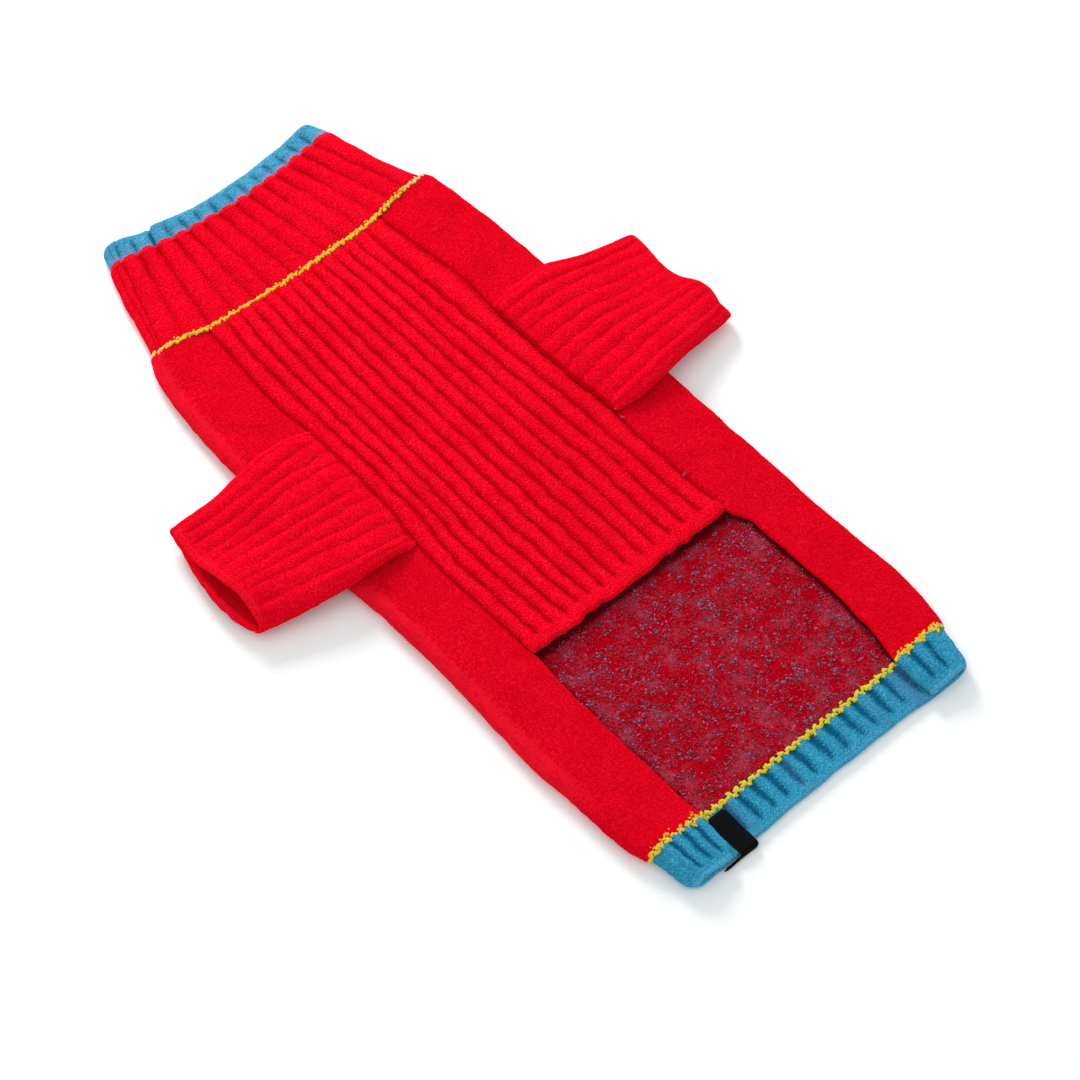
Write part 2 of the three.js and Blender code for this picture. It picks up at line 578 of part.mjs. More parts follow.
function sleeve(spec) {
  const outward = spec.side === 'left' ? -1 : 1;
  const outer = [];
  const inner = [];
  for (const ring of spec.rings) {
    const { share } = ring;
    const mouth = smooth((share - MOUTH_START) / (1 - MOUTH_START)) * spec.mouth.height;
    // The cuff's mouth is a lens, open in the middle and shut at both sides
    const lens = (y) => {
      const fromMiddle = Math.min(1, Math.abs(y - spec.mouth.middle) / spec.mouth.half);
      return mouth * Math.cos(fromMiddle * Math.PI / 2) ** 2;
    };
    const overX = (y) => {
      const root = column(FLAP_EDGES, 'y', spec.side, y) + outward * SEAM_GAP / 2;
      return mix(root, column(spec.cuff, 'y', 'over', y), share);
    };
    const underX = (y) => {
      const intoNotch = notch(y, spec.side) * UNDER_ROOT_DEPTH + SEAM_GAP / 2;
      const root = column(FLAP_EDGES, 'y', spec.side, y) + outward * intoNotch;
      return mix(root, column(spec.cuff, 'y', 'under', y), share);
    };
    const overZ = (y) => ring.over + lens(y) * MOUTH_SHARES.over;
    const rise = RIB_RISE * Math.max(ring.rib, SMALLEST_TOP_RIB);
    const underZ = (y) => {
      const clearOfFlap = bodyTop(underX(y), y, spec.side) + SLEEVE_CLEARANCE + RIB_RISE * ring.rib;
      return Math.max(ring.under - lens(y) * MOUTH_SHARES.under, clearOfFlap);
    };
    const outerRow = [];
    const innerRow = [];
    const frontStart = ring.front - SLEEVE_SIDE_REACH;
    const rearStart = ring.rear + SLEEVE_SIDE_REACH;
    const furrows = spec.furrows.map((f) => (
      betweenValues(SLEEVE_FURROW_SHARES, [f.root, f.near, f.far, f.cuff], share)
    ));
    for (const { at, rise: rib } of ribRun([frontStart, ...furrows, rearStart])) {
      outerRow.push([overX(at), at, overZ(at) + rise * rib]);
      innerRow.push([overX(at), at, overZ(at) - RIB_WALL]);
    }
    const addSide = (startY, forward, angles) => {
      const top = overZ(startY);
      const bottom = underZ(startY);
      const middle = (top + bottom) / 2;
      const half = (top - bottom) / 2;
      for (const degrees of angles) {
        const angle = THREE.MathUtils.degToRad(degrees);
        const up = Math.sin(angle);
        const x = mix(underX(startY), overX(startY), (up + 1) / 2);
        const reach = forward * Math.cos(angle);
        const inHalf = Math.max(half - RIB_WALL, SMALLEST_INNER_HALF);
        outerRow.push([x, startY + SLEEVE_SIDE_REACH * reach, middle + half * up]);
        innerRow.push([x, startY + (SLEEVE_SIDE_REACH - RIB_WALL) * reach, middle + inHalf * up]);
      }
    };
    addSide(rearStart, -1, SLEEVE_SIDE_ANGLES);
    const underFurrows = Array.from({ length: UNDER_RIBS + 1 }, (_, k) => (
      mix(rearStart, frontStart, k / UNDER_RIBS)
    ));
    for (const { at, rise: rib } of ribRun(underFurrows)) {
      outerRow.push([underX(at), at, underZ(at) - RIB_RISE * ring.rib * rib]);
      innerRow.push([underX(at), at, underZ(at) + RIB_WALL]);
    }
    addSide(frontStart, 1, [...SLEEVE_SIDE_ANGLES].reverse());
    outer.push(outerRow);
    inner.push(innerRow);
  }
  return wall(spec.name, RED, outer, inner, true);
}

// Label: a strip on the hem's inner face, turned down over the hem's end, with a tail under the flap.
// Its path is followed from its top edge; ny and nz say which way its outer face looks there.
const LABEL_BEND = 1;
const LABEL_TAIL_Z = 1.5;

function label() {
  const onHem = RIB_WALL + LABEL.lift;
  const { top, end, left, tail } = LABEL;
  const path = [
    { y: top, z: onHem, ny: 0, nz: 1, left },
    { y: (top + end) / 2, z: onHem, ny: 0, nz: 1, left },
    { y: end + LABEL_BEND, z: onHem, ny: -0.4, nz: 0.9, left },
    { y: end, z: onHem - 0.9 * LABEL_BEND, ny: -1, nz: 0.2, left },
    { y: end, z: LABEL_TAIL_Z, ny: -1, nz: 0, left: tail },
    { y: end, z: LABEL.lift, ny: -1, nz: 0, left: tail },
  ];
  const across = [0, 0.5, 1];
  const place = (lift) => path.map((p) => across.map((share) => (
    [mix(p.left, LABEL.right, share), p.y + p.ny * lift, p.z + p.nz * lift]
  )));
  return wall('label', BLACK, place(LABEL.wall), place(0), false);
}

const sweater = new THREE.Group();
sweater.name = 'dog_sweater';
sweater.add(backPanel(), bellyPanel(), neckCollar(), neckBorder(), hemBorder());
sweater.add(sleeve(LEFT_SLEEVE), sleeve(RIGHT_SLEEVE), label());

export default sweater;
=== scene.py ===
# Dog sweater of felted wool, laid flat on its back panel with the belly side up.
# Sizes and tables are in millimetres. x = 0 is the middle of the belly panel, y = 0 lies just behind
# the leg sleeves, +Y points to the neck, and ORIGIN is where the row frame has its own origin.

import itertools
import math

import bpy
import numpy as np
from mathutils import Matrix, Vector


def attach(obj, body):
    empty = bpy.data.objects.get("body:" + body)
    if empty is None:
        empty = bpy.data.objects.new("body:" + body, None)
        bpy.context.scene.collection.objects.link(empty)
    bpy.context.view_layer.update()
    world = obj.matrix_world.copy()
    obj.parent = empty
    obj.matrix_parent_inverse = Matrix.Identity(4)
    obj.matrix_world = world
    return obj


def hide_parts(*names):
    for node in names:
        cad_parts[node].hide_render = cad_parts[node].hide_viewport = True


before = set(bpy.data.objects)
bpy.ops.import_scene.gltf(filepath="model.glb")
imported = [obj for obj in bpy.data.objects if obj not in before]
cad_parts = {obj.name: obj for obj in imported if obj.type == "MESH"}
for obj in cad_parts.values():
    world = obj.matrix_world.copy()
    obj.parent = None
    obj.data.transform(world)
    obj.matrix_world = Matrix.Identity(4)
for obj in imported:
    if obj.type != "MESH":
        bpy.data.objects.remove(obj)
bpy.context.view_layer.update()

MM = 0.001
ORIGIN = np.array((-4.2, 33.2, 0.0))

# Driving dimensions of the garment
JERSEY_WALL = 2.6
RIB_WALL = 2.2
RIB_RISE = 1.2
NECK_SEAM_Y = 181
HEM_SEAM_Y = -163.5
HEM_END_Y = -186
BELLY_END_Y = -58
FOLD_HEIGHT = 7.8
FLAP_EDGE_TOP = 5.8
FOLD_RADIUS_X = 5.5
BELLY_UNDERSIDE = 3
ARMHOLE_DEPTH = 12
ARMHOLE_MIDDLE = {"left": 60, "right": 58.5}
ARMHOLE_HALF = {"left": 42, "right": 45}
HEM_RIB_RISE = 1
SEAM_GAP = 0.03                # the drawing's 0.3 mm, closed up as sewn wool closes it


def table(names, *rows):
    """A short table as one array for each named column."""
    return {name: np.array(values, float) for name, values in zip(names.split(), zip(*rows))}


BODY_SIDES = table(
    "y left right",
    (-166, -87.7, 86.5), (-156, -91, 89), (-145, -92.5, 91), (-125, -93.7, 92), (-95, -95.4, 90.6),
    (-50, -94.2, 90.6), (0, -94.8, 90.5), (20, -96.7, 91), (60, -97.2, 91), (100, -97.5, 90.6),
    (130, -96.2, 90), (150, -95, 89), (165, -92.7, 88), (176, -89.5, 86.5), (184, -85.5, 83.5))
FLAP_EDGES = table(
    "y left right",
    (-164, -57, 57.2), (-145, -57.8, 60.8), (-120, -58.5, 62.7), (-80, -58.7, 62), (-68, -58.3, 61.6),
    (-58, -58, 57.3), (0, -60, 55), (25, -59.5, 55.5), (45, -57, 53.5), (95, -57, 53.5),
    (125, -59, 55), (150, -57.5, 52), (182, -55.5, 48.5))

# The belly panel's furrows: where each lies at the end, rear, middle, front and neck
BELLY_FURROW_YS = np.array((-50, 0, 40, 150, 172), float)
BELLY_FURROWS = np.array((
    (-50.5, -52, -49, -49.5, -47), (-42, -44.5, -43, -41.5, -39.5), (-34.5, -37, -36, -33.5, -32),
    (-26.5, -29, -29, -26.5, -24.5), (-20, -21.5, -21.5, -19, -18), (-12.5, -13, -13.5, -11.5, -10.5),
    (-5, -5, -6, -4.5, -3.5), (3.5, 3, 2.5, 3, 3.5), (12, 11.5, 10, 10.5, 10), (20, 20, 18.5, 17.5, 16.5),
    (29, 28.5, 26.5, 24.5, 23.5), (37.5, 37, 35.5, 31.5, 30.5), (46.5, 45.5, 44, 38.5, 38)))

NECK_SEAM = table(
    "x y",
    (-87, 182.5), (-70, 182), (-52, 179), (-20, 177.8), (20, 178.4), (42, 179.6), (60, 183.4), (85, 186))
COLLAR_END = table(
    "x y", (-72, 239), (-50, 237), (-33, 234), (0, 232.3), (30, 234), (50, 236.5), (67, 239))
NECK_END = table(
    "x y",
    (-68, 251), (-61, 252.8), (-50, 251), (-44, 248.6), (-36, 249), (-18, 245.4), (0, 245), (20, 246),
    (40, 248.4), (58, 251.6), (66, 250))
HEM_END = table(
    "x y",
    (-88, -185.5), (-66, -186), (-45, -184.6), (0, -184), (45, -184.6), (60, -186), (88, -185.5))
COLLAR_SIDES = table(
    "y left right",
    (184, -85.5, 82.8), (192, -82.7, 79.5), (202, -79.7, 76), (212, -77.2, 73), (222, -74.7, 70.5),
    (237, -69.7, 67))
NECK_FURROWS = table(
    "base end",
    (-80, -62), (-67, -53.5), (-54, -44), (-40, -34.5), (-28, -26), (-17, -17.5), (-4, -8.5), (6, 1),
    (16, 10), (27, 19), (39, 28), (50, 37), (61, 45.5), (71, 54))
BORDER_SIDES = table(
    "share left right", (0, -69.2, 66.5), (0.5, -67, 64.8), (0.85, -65, 62.8), (1, -62.8, 60.5))
HEM_SIDES = table(
    "share left right", (0, -87.2, 86), (0.6, -85, 82.5), (0.85, -83.7, 81.5), (1, -80.5, 79))
HEM_FLAP_FURROWS = {"left": (-64, -70, -77), "right": (65, 73)}
HEM_BACK_FURROWS = (-38.5, -30.5, -22.5, -13.5, -5.5, 4.5, 13, 22.5, 30, 39.5, 47.5)

# Leg sleeves, from the armhole out to the cuff; their furrows from the front to the rear
SLEEVES = {
    "left": {
        "cuff": table(
            "y over under",
            (31, -140.3, -141.9), (41, -139.2, -145.3), (49, -138.6, -146), (63, -140.3, -145.4),
            (76, -141.5, -143.4), (89, -140.3, -140.6), (98, -138.2, -138.6)),
        "mouth": {"height": 6.4, "middle": 52, "half": 32},
        "plain_from": 0.92,
        "rings": table(
            "share front rear over under rib",
            (0, 101, 19, 7.2, 6.3, 0.15), (0.16, 102.4, 19.3, 11.6, 7.9, 0.5), (0.34, 101.8, 19, 13.5, 9.3, 1),
            (0.5, 99.2, 19.8, 14.1, 8.9, 1), (0.67, 97.4, 22.3, 12.9, 6.9, 1), (0.85, 98.2, 25.5, 11, 5.2, 1),
            (1, 98.6, 29, 9.4, 4.2, 1)),
        "furrows": np.array((
            (94, 90, 87.5, 90.2), (85, 82.5, 81, 82.2), (77, 76.5, 74, 75.2), (68, 66.8, 67.8, 69.2),
            (59.5, 59.3, 61.2, 63.2), (52, 52.5, 53.8, 55.5), (43, 44.5, 48, 51.5), (35, 37.5, 42, 46.8),
            (26, 27.5, 32.5, 38.2)))},
    "right": {
        "cuff": table(
            "y over under",
            (24, 133, 137), (31, 135.4, 137.2), (38, 137.3, 136.4), (45, 136.2, 134.6), (54, 131, 132),
            (62, 130, 131), (72, 131.2, 131), (90, 133.4, 132)),
        "mouth": {"height": 2, "middle": 55, "half": 40},
        "plain_from": 0.955,
        "rings": table(
            "share front rear over under rib",
            (0, 102, 15, 7.2, 6.3, 0.15), (0.17, 102, 13, 11.6, 7.9, 0.5), (0.4, 100.7, 14.8, 13.9, 9.3, 1),
            (0.52, 96.6, 16.5, 13.9, 8.7, 1), (0.68, 93.4, 18.2, 12.6, 6.6, 1), (0.85, 91.6, 20, 10.6, 5, 1),
            (1, 90, 21.8, 9.2, 4.2, 1)),
        "furrows": np.array((
            (94, 90.5, 85, 83), (86, 82.5, 79, 75), (78, 74.5, 70, 67.5), (68, 66, 62.5, 61),
            (59, 58, 56, 54.5), (49.5, 50, 48.5, 48.5), (40, 41, 42.5, 43.5), (31, 32.5, 35, 38.5),
            (21.5, 23.5, 26.3, 30)))},
}
SLEEVE_FURROW_SHARES = np.array((0, 0.35, 0.65, 1))

SIDES = (("left", -1), ("right", 1))


# Curves and noise

def mix(a, b, share):
    return a + (b - a) * share


def smooth(share):
    """0 up to 0, 1 from 1 on, and an easy curve between them."""
    s = np.clip(share, 0, 1)
    return s * s * (3 - 2 * s)


def rising(value, start, end):
    """0 up to the start and 1 from the end on. Where the start is the greater one, it rises downwards."""
    return smooth((value - start) / (end - start))


def bell(distance, width):
    """1 at no distance, and falling off over the width."""
    return np.exp(-(distance / width) ** 2)


def between(places, values, at):
    """Values on a smooth curve through the given places."""
    k = np.clip(np.searchsorted(places, at) - 1, 0, len(places) - 2)
    before = np.maximum(np.arange(len(places)) - 1, 0)
    after = np.minimum(np.arange(len(places)) + 1, len(places) - 1)
    slopes = (values[after] - values[before]) / (places[after] - places[before])
    span = places[k + 1] - places[k]
    w = np.clip((at - places[k]) / span, 0, 1)
    from_start = w * w * (3 - 2 * w)
    start_slope = w * (1 - w) ** 2 * span * slopes[k]
    end_slope = w * w * (w - 1) * span * slopes[k + 1]
    return mix(values[k], values[k + 1], from_start) + start_slope + end_slope


def column(rows, by, name, at):
    """A table's column at any place between its rows."""
    return between(rows[by], rows[name], np.asarray(at, float))


def both_sides(rows, by, at):
    """The left and the right column's values at any place between the rows."""
    return [column(rows, by, side, at) for side, _ in SIDES]


def points_of(x, y, z):
    """Points from their coordinates, each of them a grid, a row, a column or one number."""
    return np.stack(np.broadcast_arrays(x, y, z), axis=-1)


LATTICE_SIZE = 64
LATTICE = np.random.default_rng(11).random((LATTICE_SIZE,) * 3) * 2 - 1


def noise(points, size):
    """Smooth noise from -1 to 1 whose bumps are about size millimetres wide."""
    cell = points / size
    base = np.floor(cell).astype(int)
    w = smooth(cell - base)
    total = 0
    for corner in itertools.product((0, 1), repeat=3):
        weight = np.prod(np.where(corner, w, 1 - w), axis=-1)
        i, j, k = np.moveaxis((base + corner) % LATTICE_SIZE, -1, 0)
        total = total + weight * LATTICE[i, j, k]
    return total


def noises(points, sizes):
    """Noise of several bump sizes, each given with its own strength."""
    return sum(strength * noise(points, size) for size, strength in sizes)


def unevenness(x, y):
    """Low, slow waves of cloth that has been put down by hand."""
    return 0.3 * np.sin(x / 27 + 1.1) * np.sin(y / 41 + 0.4) + 0.2 * np.sin(y / 17 + x / 60)


EDGE_ROUNDING = 1.3            # radius of a free edge of the plain knit
FINE_PLACES = 6                # rows over such a rounding


def spaced(start, end, step, fine_start=False, fine_end=False, rounding=EDGE_ROUNDING):
    """Places about one step apart, closer together over the rounding of a free edge."""
    count = max(2, round(abs(end - start) / step))
    places = list(np.linspace(start, end, count + 1))
    way = np.sign(end - start)
    depths = rounding * (1 - np.cos(np.linspace(0, math.pi / 2, FINE_PLACES)))
    clear = rounding * 1.3
    if fine_start:
        places = [start + way * d for d in depths] + [p for p in places if abs(p - start) > clear]
    if fine_end:
        places = [p for p in places if abs(p - end) > clear] + [end - way * d for d in depths[::-1]]
    return np.array(places)


# Cloth walls

def arc_lengths(points, axis):
    """Distance along each line of a grid, from its first point."""
    steps = np.linalg.norm(np.diff(points, axis=axis), axis=-1)
    start = np.zeros_like(np.take(steps, [0], axis=axis))
    return np.concatenate([start, np.cumsum(steps, axis=axis)], axis=axis)


def unit(vectors):
    return vectors / np.maximum(np.linalg.norm(vectors, axis=-1, keepdims=True), 1e-9)


def normals(points, towards, ring):
    """Unit normals of a grid, on the side of the grid towards."""
    down = np.gradient(points, axis=0)
    if ring:
        across = np.roll(points, -1, axis=1) - np.roll(points, 1, axis=1)
    else:
        across = np.gradient(points, axis=1)
    n = unit(np.cross(across, down))
    side = np.sign(np.sum(n * (towards - points), axis=-1, keepdims=True))
    return n * np.where(side == 0, 1, side)


SEAM_DIP = 0.06                # how far a sewn edge dips, as a share of the wall


def round_edge(outer, inner, distance, radius, free=1.0):
    """A free edge becomes a half round; a sewn one only dips on its outer side."""
    lift = np.sqrt(1 - (1 - np.clip(distance / radius, 0, 1)) ** 2)[..., None]
    free = np.asarray(free, float)
    if free.ndim:
        free = free[..., None]
    centre = mix(inner, (outer + inner) / 2, free)
    depth = mix(SEAM_DIP, 1, free)
    rounded = centre + (outer - centre) * (1 - depth * (1 - lift))
    under = mix(inner, centre + (inner - centre) * lift, free)
    return rounded, under


def round_end(outer, inner, radius):
    """Rounds the free edge along the last row."""
    lengths = arc_lengths(outer, 0)
    return round_edge(outer, inner, lengths[-1:] - lengths, radius)


FLOOR_LAYER_TOP = 2            # the layer on the floor is below this height, the flaps are above it
OUT_OF_REACH = 9


def round_flap_edges(outer, inner, x, z, radius, free=1.0):
    """Rounds the edges of both flaps, which are the first and the last column."""
    for edge in (x[:, :1], x[:, -1:]):
        distance = np.abs(x - edge) + OUT_OF_REACH * (z < FLOOR_LAYER_TOP)
        outer, inner = round_edge(outer, inner, distance, radius, free)
    return outer, inner


SEAM_LIFT, SEAM_REACH = 0.45, 1.5


def lift_at_seam(outer, from_seam):
    """Raises the layer on the floor beside its seams, so the joining rows show below as they do above."""
    on_floor = np.clip(1 - outer[..., 2], 0, 1)
    outer[..., 2] += SEAM_LIFT * bell(from_seam, SEAM_REACH) * on_floor


# Sizes of bumps, each with how far it moves the cloth
LUMPS = ((9.0, 0.16), (3.6, 0.12), (1.9, 0.07))
INNER_LUMPS = ((3.1, 0.12),)
HEM_INNER_LUMPS = ((3.3, 0.15), (1.7, 0.08))
STRAY = ((8.0, 0.34), (3.2, 0.14))
STRAY_OFFSET = 31              # takes the second sideways noise from another place


def felted(outer, inner, ring):
    """Moves a wall's outer face by the lumps of felted wool, never through the floor."""
    out = normals(outer, 2 * outer - inner, ring)
    moved = outer + out * noises(outer, LUMPS)[..., None]
    moved[..., 2] = np.maximum(moved[..., 2], 0)
    return moved


def roughened(inner, lumps):
    """Raises and lowers an inner face by small lumps."""
    return inner + np.array((0, 0, 1)) * noises(inner, lumps)[..., None]


def strayed(points):
    """The same points moved a little sideways. Neighbours move alike, so their seams stay closed."""
    flat = points * (1, 1, 0)
    for size, reach in STRAY:
        points = points + reach * points_of(noise(flat, size), noise(flat + STRAY_OFFSET, size), 0)
    return points


def grid_quads(rows, columns, ring):
    spans = columns if ring else columns - 1
    i, j = np.meshgrid(np.arange(rows - 1), np.arange(spans), indexing="ij")
    after = (j + 1) % columns
    corners = (i * columns + j, i * columns + after, (i + 1) * columns + after, (i + 1) * columns + j)
    return np.stack(corners, axis=-1).reshape(-1, 4)


def rim_quads(rows, columns, ring):
    """Quads that join the outer grid to the inner one round their edges."""
    along = np.arange(columns if ring else columns - 1)
    after = (along + 1) % columns
    last = (rows - 1) * columns
    lines = [(along, after, False), (last + along, last + after, True)]
    if not ring:
        down = np.arange(rows - 1) * columns
        lines.append((down, down + columns, True))
        lines.append((down + columns - 1, down + 2 * columns - 1, False))
    other = rows * columns
    quads = []
    for a, b, turned in lines:
        corners = (a, b, other + b, other + a) if turned else (b, a, other + a, other + b)
        quads.append(np.stack(corners, axis=-1))
    return np.concatenate(quads)


def new_object(name, vertices, faces, materials, slots=None):
    """An object in metres in the row frame, from vertices in millimetres."""
    mesh = bpy.data.meshes.new(name)
    mesh.from_pydata(((vertices - ORIGIN) * MM).tolist(), [], faces.tolist())
    for material in materials:
        mesh.materials.append(material)
    if slots is not None:
        mesh.polygons.foreach_set("material_index", slots)
    mesh.polygons.foreach_set("use_smooth", np.ones(len(faces), bool))
    mesh.validate()
    obj = bpy.data.objects.new(name, mesh)
    bpy.context.scene.collection.objects.link(obj)
    return obj


FLOOR_CLEARANCE = 0.02


def many_objects_as_one(name, points, faces, tones, finish_with):
    """One object of many like bodies: their points, one body's faces, and a tone for each point."""
    count, size = points.shape[:2]
    points[..., 2] = np.maximum(points[..., 2], FLOOR_CLEARANCE)
    offsets = (np.arange(count) * size)[:, None, None]
    obj = new_object(name, points.reshape(-1, 3), (faces[None] + offsets).reshape(-1, 3), [finish_with])
    give(obj, "tone", tones)
    return obj


def give(obj, name, values):
    """A point attribute for the materials: one number, or three, for each vertex."""
    kind = "FLOAT_VECTOR" if values.ndim == 2 else "FLOAT"
    attribute = obj.data.attributes.new(name, kind, "POINT")
    attribute.data.foreach_set("vector" if values.ndim == 2 else "value", values.astype(np.float32).ravel())


def mark_sharp(mesh, vertices):
    """Makes the edges between these vertices sharp, so a seam's end face doesn't shade the cloth."""
    chosen = np.zeros(len(mesh.vertices), bool)
    chosen[vertices] = True
    ends = np.zeros(len(mesh.edges) * 2, int)
    mesh.edges.foreach_get("vertices", ends)
    both = chosen[ends.reshape(-1, 2)].all(axis=1)
    mesh.edges.foreach_set("use_edge_sharp", both)


WALLS = {}                     # each wall's grids by its name, for the nap that stands on them


def wall(name, outer, inner, rise, ring, finishes, sharp_rows=(), inner_painted_light=None):
    """A closed wall of cloth. Its cloth attribute holds the way across, the way along and the rib's rise,
    which the materials paint as furrow shade and highlights; on the inner face it may hold a share of painted
    light instead.
    """
    outer, inner = strayed(outer), strayed(inner)
    WALLS[name] = (outer, inner, ring)
    rows, columns = outer.shape[:2]
    faces, rim = grid_quads(rows, columns, ring), rim_quads(rows, columns, ring)
    every = np.concatenate([faces, faces[:, ::-1] + rows * columns, rim])
    points = np.concatenate([outer.reshape(-1, 3), inner.reshape(-1, 3)])
    corners = points[every][:, :3] - points.mean(axis=0)
    volume = np.einsum("ij,ij->", corners[:, 0], np.cross(corners[:, 1], corners[:, 2]))
    if volume < 0:
        every = every[:, ::-1]
    slots = np.repeat((0, len(finishes) - 1, 0), (len(faces), len(faces), len(rim)))
    obj = new_object(name, points, every, finishes, slots)
    across = np.median(arc_lengths(outer, 1), axis=0)[None, :]
    along = np.median(arc_lengths(outer, 0), axis=1)[:, None]
    rises = (rise, rise if inner_painted_light is None else inner_painted_light)
    give(obj, "cloth", np.concatenate([points_of(across, along, face).reshape(-1, 3) for face in rises]))
    sharp = [np.arange(columns) + row % rows * columns for row in sharp_rows]
    if sharp:
        mark_sharp(obj.data, np.concatenate(sharp))
    return obj


# Creases: soft troughs (depth over 0) and ridges (under 0), from one end to the other

CREASE_TABLE = "x y to_x to_y width depth"
BODY_CREASES = table(
    CREASE_TABLE,
    (-92, 20, -78, -38, 7, 0.7), (-90, 128, -70, 108, 6, 0.6), (-88, 160, -66, 138, 7, 0.5),
    (-90, -70, -72, -98, 9, 0.5), (-86, -120, -68, -150, 8, 0.45), (86, 18, 70, -30, 7, 0.7),
    (88, 126, 68, 112, 6, 0.5), (84, 158, 62, 140, 7, 0.5), (88, -86, 70, -60, 9, 0.45),
    (-40, -95, 30, -120, 12, -0.4), (-20, -140, 40, -132, 10, 0.35))
BELLY_CREASES = table(
    CREASE_TABLE,
    (-50, 20, -20, -5, 9, 0.45), (48, 22, 22, -8, 9, 0.4), (-46, 120, -10, 128, 10, 0.35),
    (-50, -20, 10, -36, 10, -0.3))
COLLAR_CREASES = table(
    CREASE_TABLE, (-80, 190, -50, 210, 8, 0.4), (60, 195, 40, 222, 8, 0.4), (-20, 205, 20, 212, 9, -0.3))
SLEEVE_CREASES = table(
    CREASE_TABLE,
    (-70, 92, -84, 34, 6, 0.8), (-108, 60, -124, 88, 7, 0.5), (68, 92, 80, 30, 6, 0.8),
    (104, 74, 122, 40, 7, 0.5))
CREASE_FADE = 0.15             # share of a crease's length that it fades over, on both sides of each end


def crease(outer, inner, creases):
    """Presses the troughs and ridges into both faces; the layer on the floor takes a third, upwards."""
    x, y = outer[..., 0], outer[..., 1]
    push = 0
    for sx, sy, ex, ey, width, depth in zip(*creases.values()):
        length = math.hypot(ex - sx, ey - sy)
        dx, dy = (ex - sx) / length, (ey - sy) / length
        along = ((x - sx) * dx + (y - sy) * dy) / length
        aside = (x - sx) * -dy + (y - sy) * dx
        reach = rising(along, -CREASE_FADE, CREASE_FADE) * rising(along, 1 + CREASE_FADE, 1 - CREASE_FADE)
        push = push + depth * bell(aside, width) ** 2 * reach
    low = np.clip(1 - outer[..., 2] / 4, 0, 1)
    up = points_of(0, 0, np.where(low > 0, np.abs(push) * low / 3, -push))
    return outer + up, inner + up


# Ribs

RIB_STEPS = 10
RIB_SHARES = (1 - np.cos(np.pi * np.arange(RIB_STEPS) / RIB_STEPS)) / 2
RIB_ROUNDNESS = 0.95
FURROW_WANDER = ((7.0, 0.45), (2.4, 0.22))     # how far furrows stray sideways, by bump size
STRAIGHT_END = 4                               # they stray less within this reach of a run's ends
FURROW_FILL = ((3.1, 0.3), (11.0, 0.15))       # how far felting fills them in places, by bump size


def rib_run(furrows, along, rolls=False):
    """Places across a run of ribs, the rise there and the share of it that the material shows, whose low
    values it paints as furrow shade.

    Each row's furrows are given with both ends, and its place along. Where the run rolls at its ends, the
    outer ribs go on round a fold, so they drop to the fold's height and show no furrow there."""
    starts, widths = furrows[:, :-1, None], np.diff(furrows, axis=1)[..., None]
    at = (starts + widths * RIB_SHARES).reshape(len(furrows), -1)
    crest = np.sin(np.pi * RIB_SHARES) ** RIB_ROUNDNESS
    rise = np.broadcast_to(crest, widths.shape[:2] + (RIB_STEPS,)).reshape(len(furrows), -1)
    at = np.concatenate([at, furrows[:, -1:]], axis=1)
    rise = np.concatenate([rise, np.zeros((len(furrows), 1))], axis=1)
    shown = rise.copy()
    if rolls:
        shown[:, :RIB_STEPS // 2] = 1
        shown[:, -RIB_STEPS // 2:] = 1
    place = points_of(at, along, 0)
    from_ends = np.minimum(np.abs(at - at[:, :1]), np.abs(at - at[:, -1:]))
    wander = noises(place, FURROW_WANDER) * np.clip(from_ends / STRAIGHT_END, 0, 1)
    fill = sum(share * np.maximum(noise(place, size), 0) for size, share in FURROW_FILL)
    return at + wander, rise + (1 - rise) ** 2 * fill, shown + (1 - shown) ** 2 * fill


# Body

NOTCH_HIDDEN = 4               # the sleeve's corners cover this much of each end of a notch
UPPER_LAYER_Z = 5
NECK_SHIFT_START_Y = 140


def notch(y, side, shorter=0):
    """How deep the armholes cut into the flaps."""
    q = np.abs(y - ARMHOLE_MIDDLE[side]) / (ARMHOLE_HALF[side] - shorter)
    return ARMHOLE_DEPTH * np.sqrt(np.maximum(1 - q ** 4, 0))


def neck_seam_y(x, z):
    """The neck seam waves on the upper layer and runs straight on the layer that lies on the floor."""
    xs, ys = NECK_SEAM["x"], NECK_SEAM["y"]
    straight = mix(ys[0], ys[-1], (x - xs[0]) / (xs[-1] - xs[0]))
    return mix(straight, column(NECK_SEAM, "x", "y", x), np.clip(z / UPPER_LAYER_Z, 0, 1))


def neck_shift(x, y, z):
    """Shift of a body row near the neck, so that the rows there follow the wavy seam."""
    return (neck_seam_y(x, z) - NECK_SEAM_Y) * rising(y, NECK_SHIFT_START_Y, NECK_SEAM_Y)


def last_row_gap(y):
    """The last row stops half a seam's gap short."""
    return np.where(np.arange(len(y)) == len(y) - 1, -SEAM_GAP / 2, 0)[:, None]


def flap_top(x, y, edge, fold_start):
    share = rising(x, edge, fold_start)
    return mix(FLAP_EDGE_TOP, FOLD_HEIGHT, share) + unevenness(x, y) * share * (1 - share) * 3


def body_top(x, y, side):
    """Top of the flap and its fold beside the belly panel, and the floor beyond the fold."""
    fold = column(BODY_SIDES, "y", side, y)
    outward = np.sign(fold)
    edge = column(FLAP_EDGES, "y", side, y) + outward * notch(y, side)
    fold_start = fold - outward * FOLD_RADIUS_X
    past = np.clip(outward * (x - fold_start) / FOLD_RADIUS_X, 0, 1)
    on_fold = FOLD_HEIGHT / 2 * (1 + np.sqrt(1 - past ** 2))
    return np.where(past <= 0, flap_top(x, y, edge, fold_start), np.where(past >= 1, 0, on_fold))


FOLD_STEPS = 16


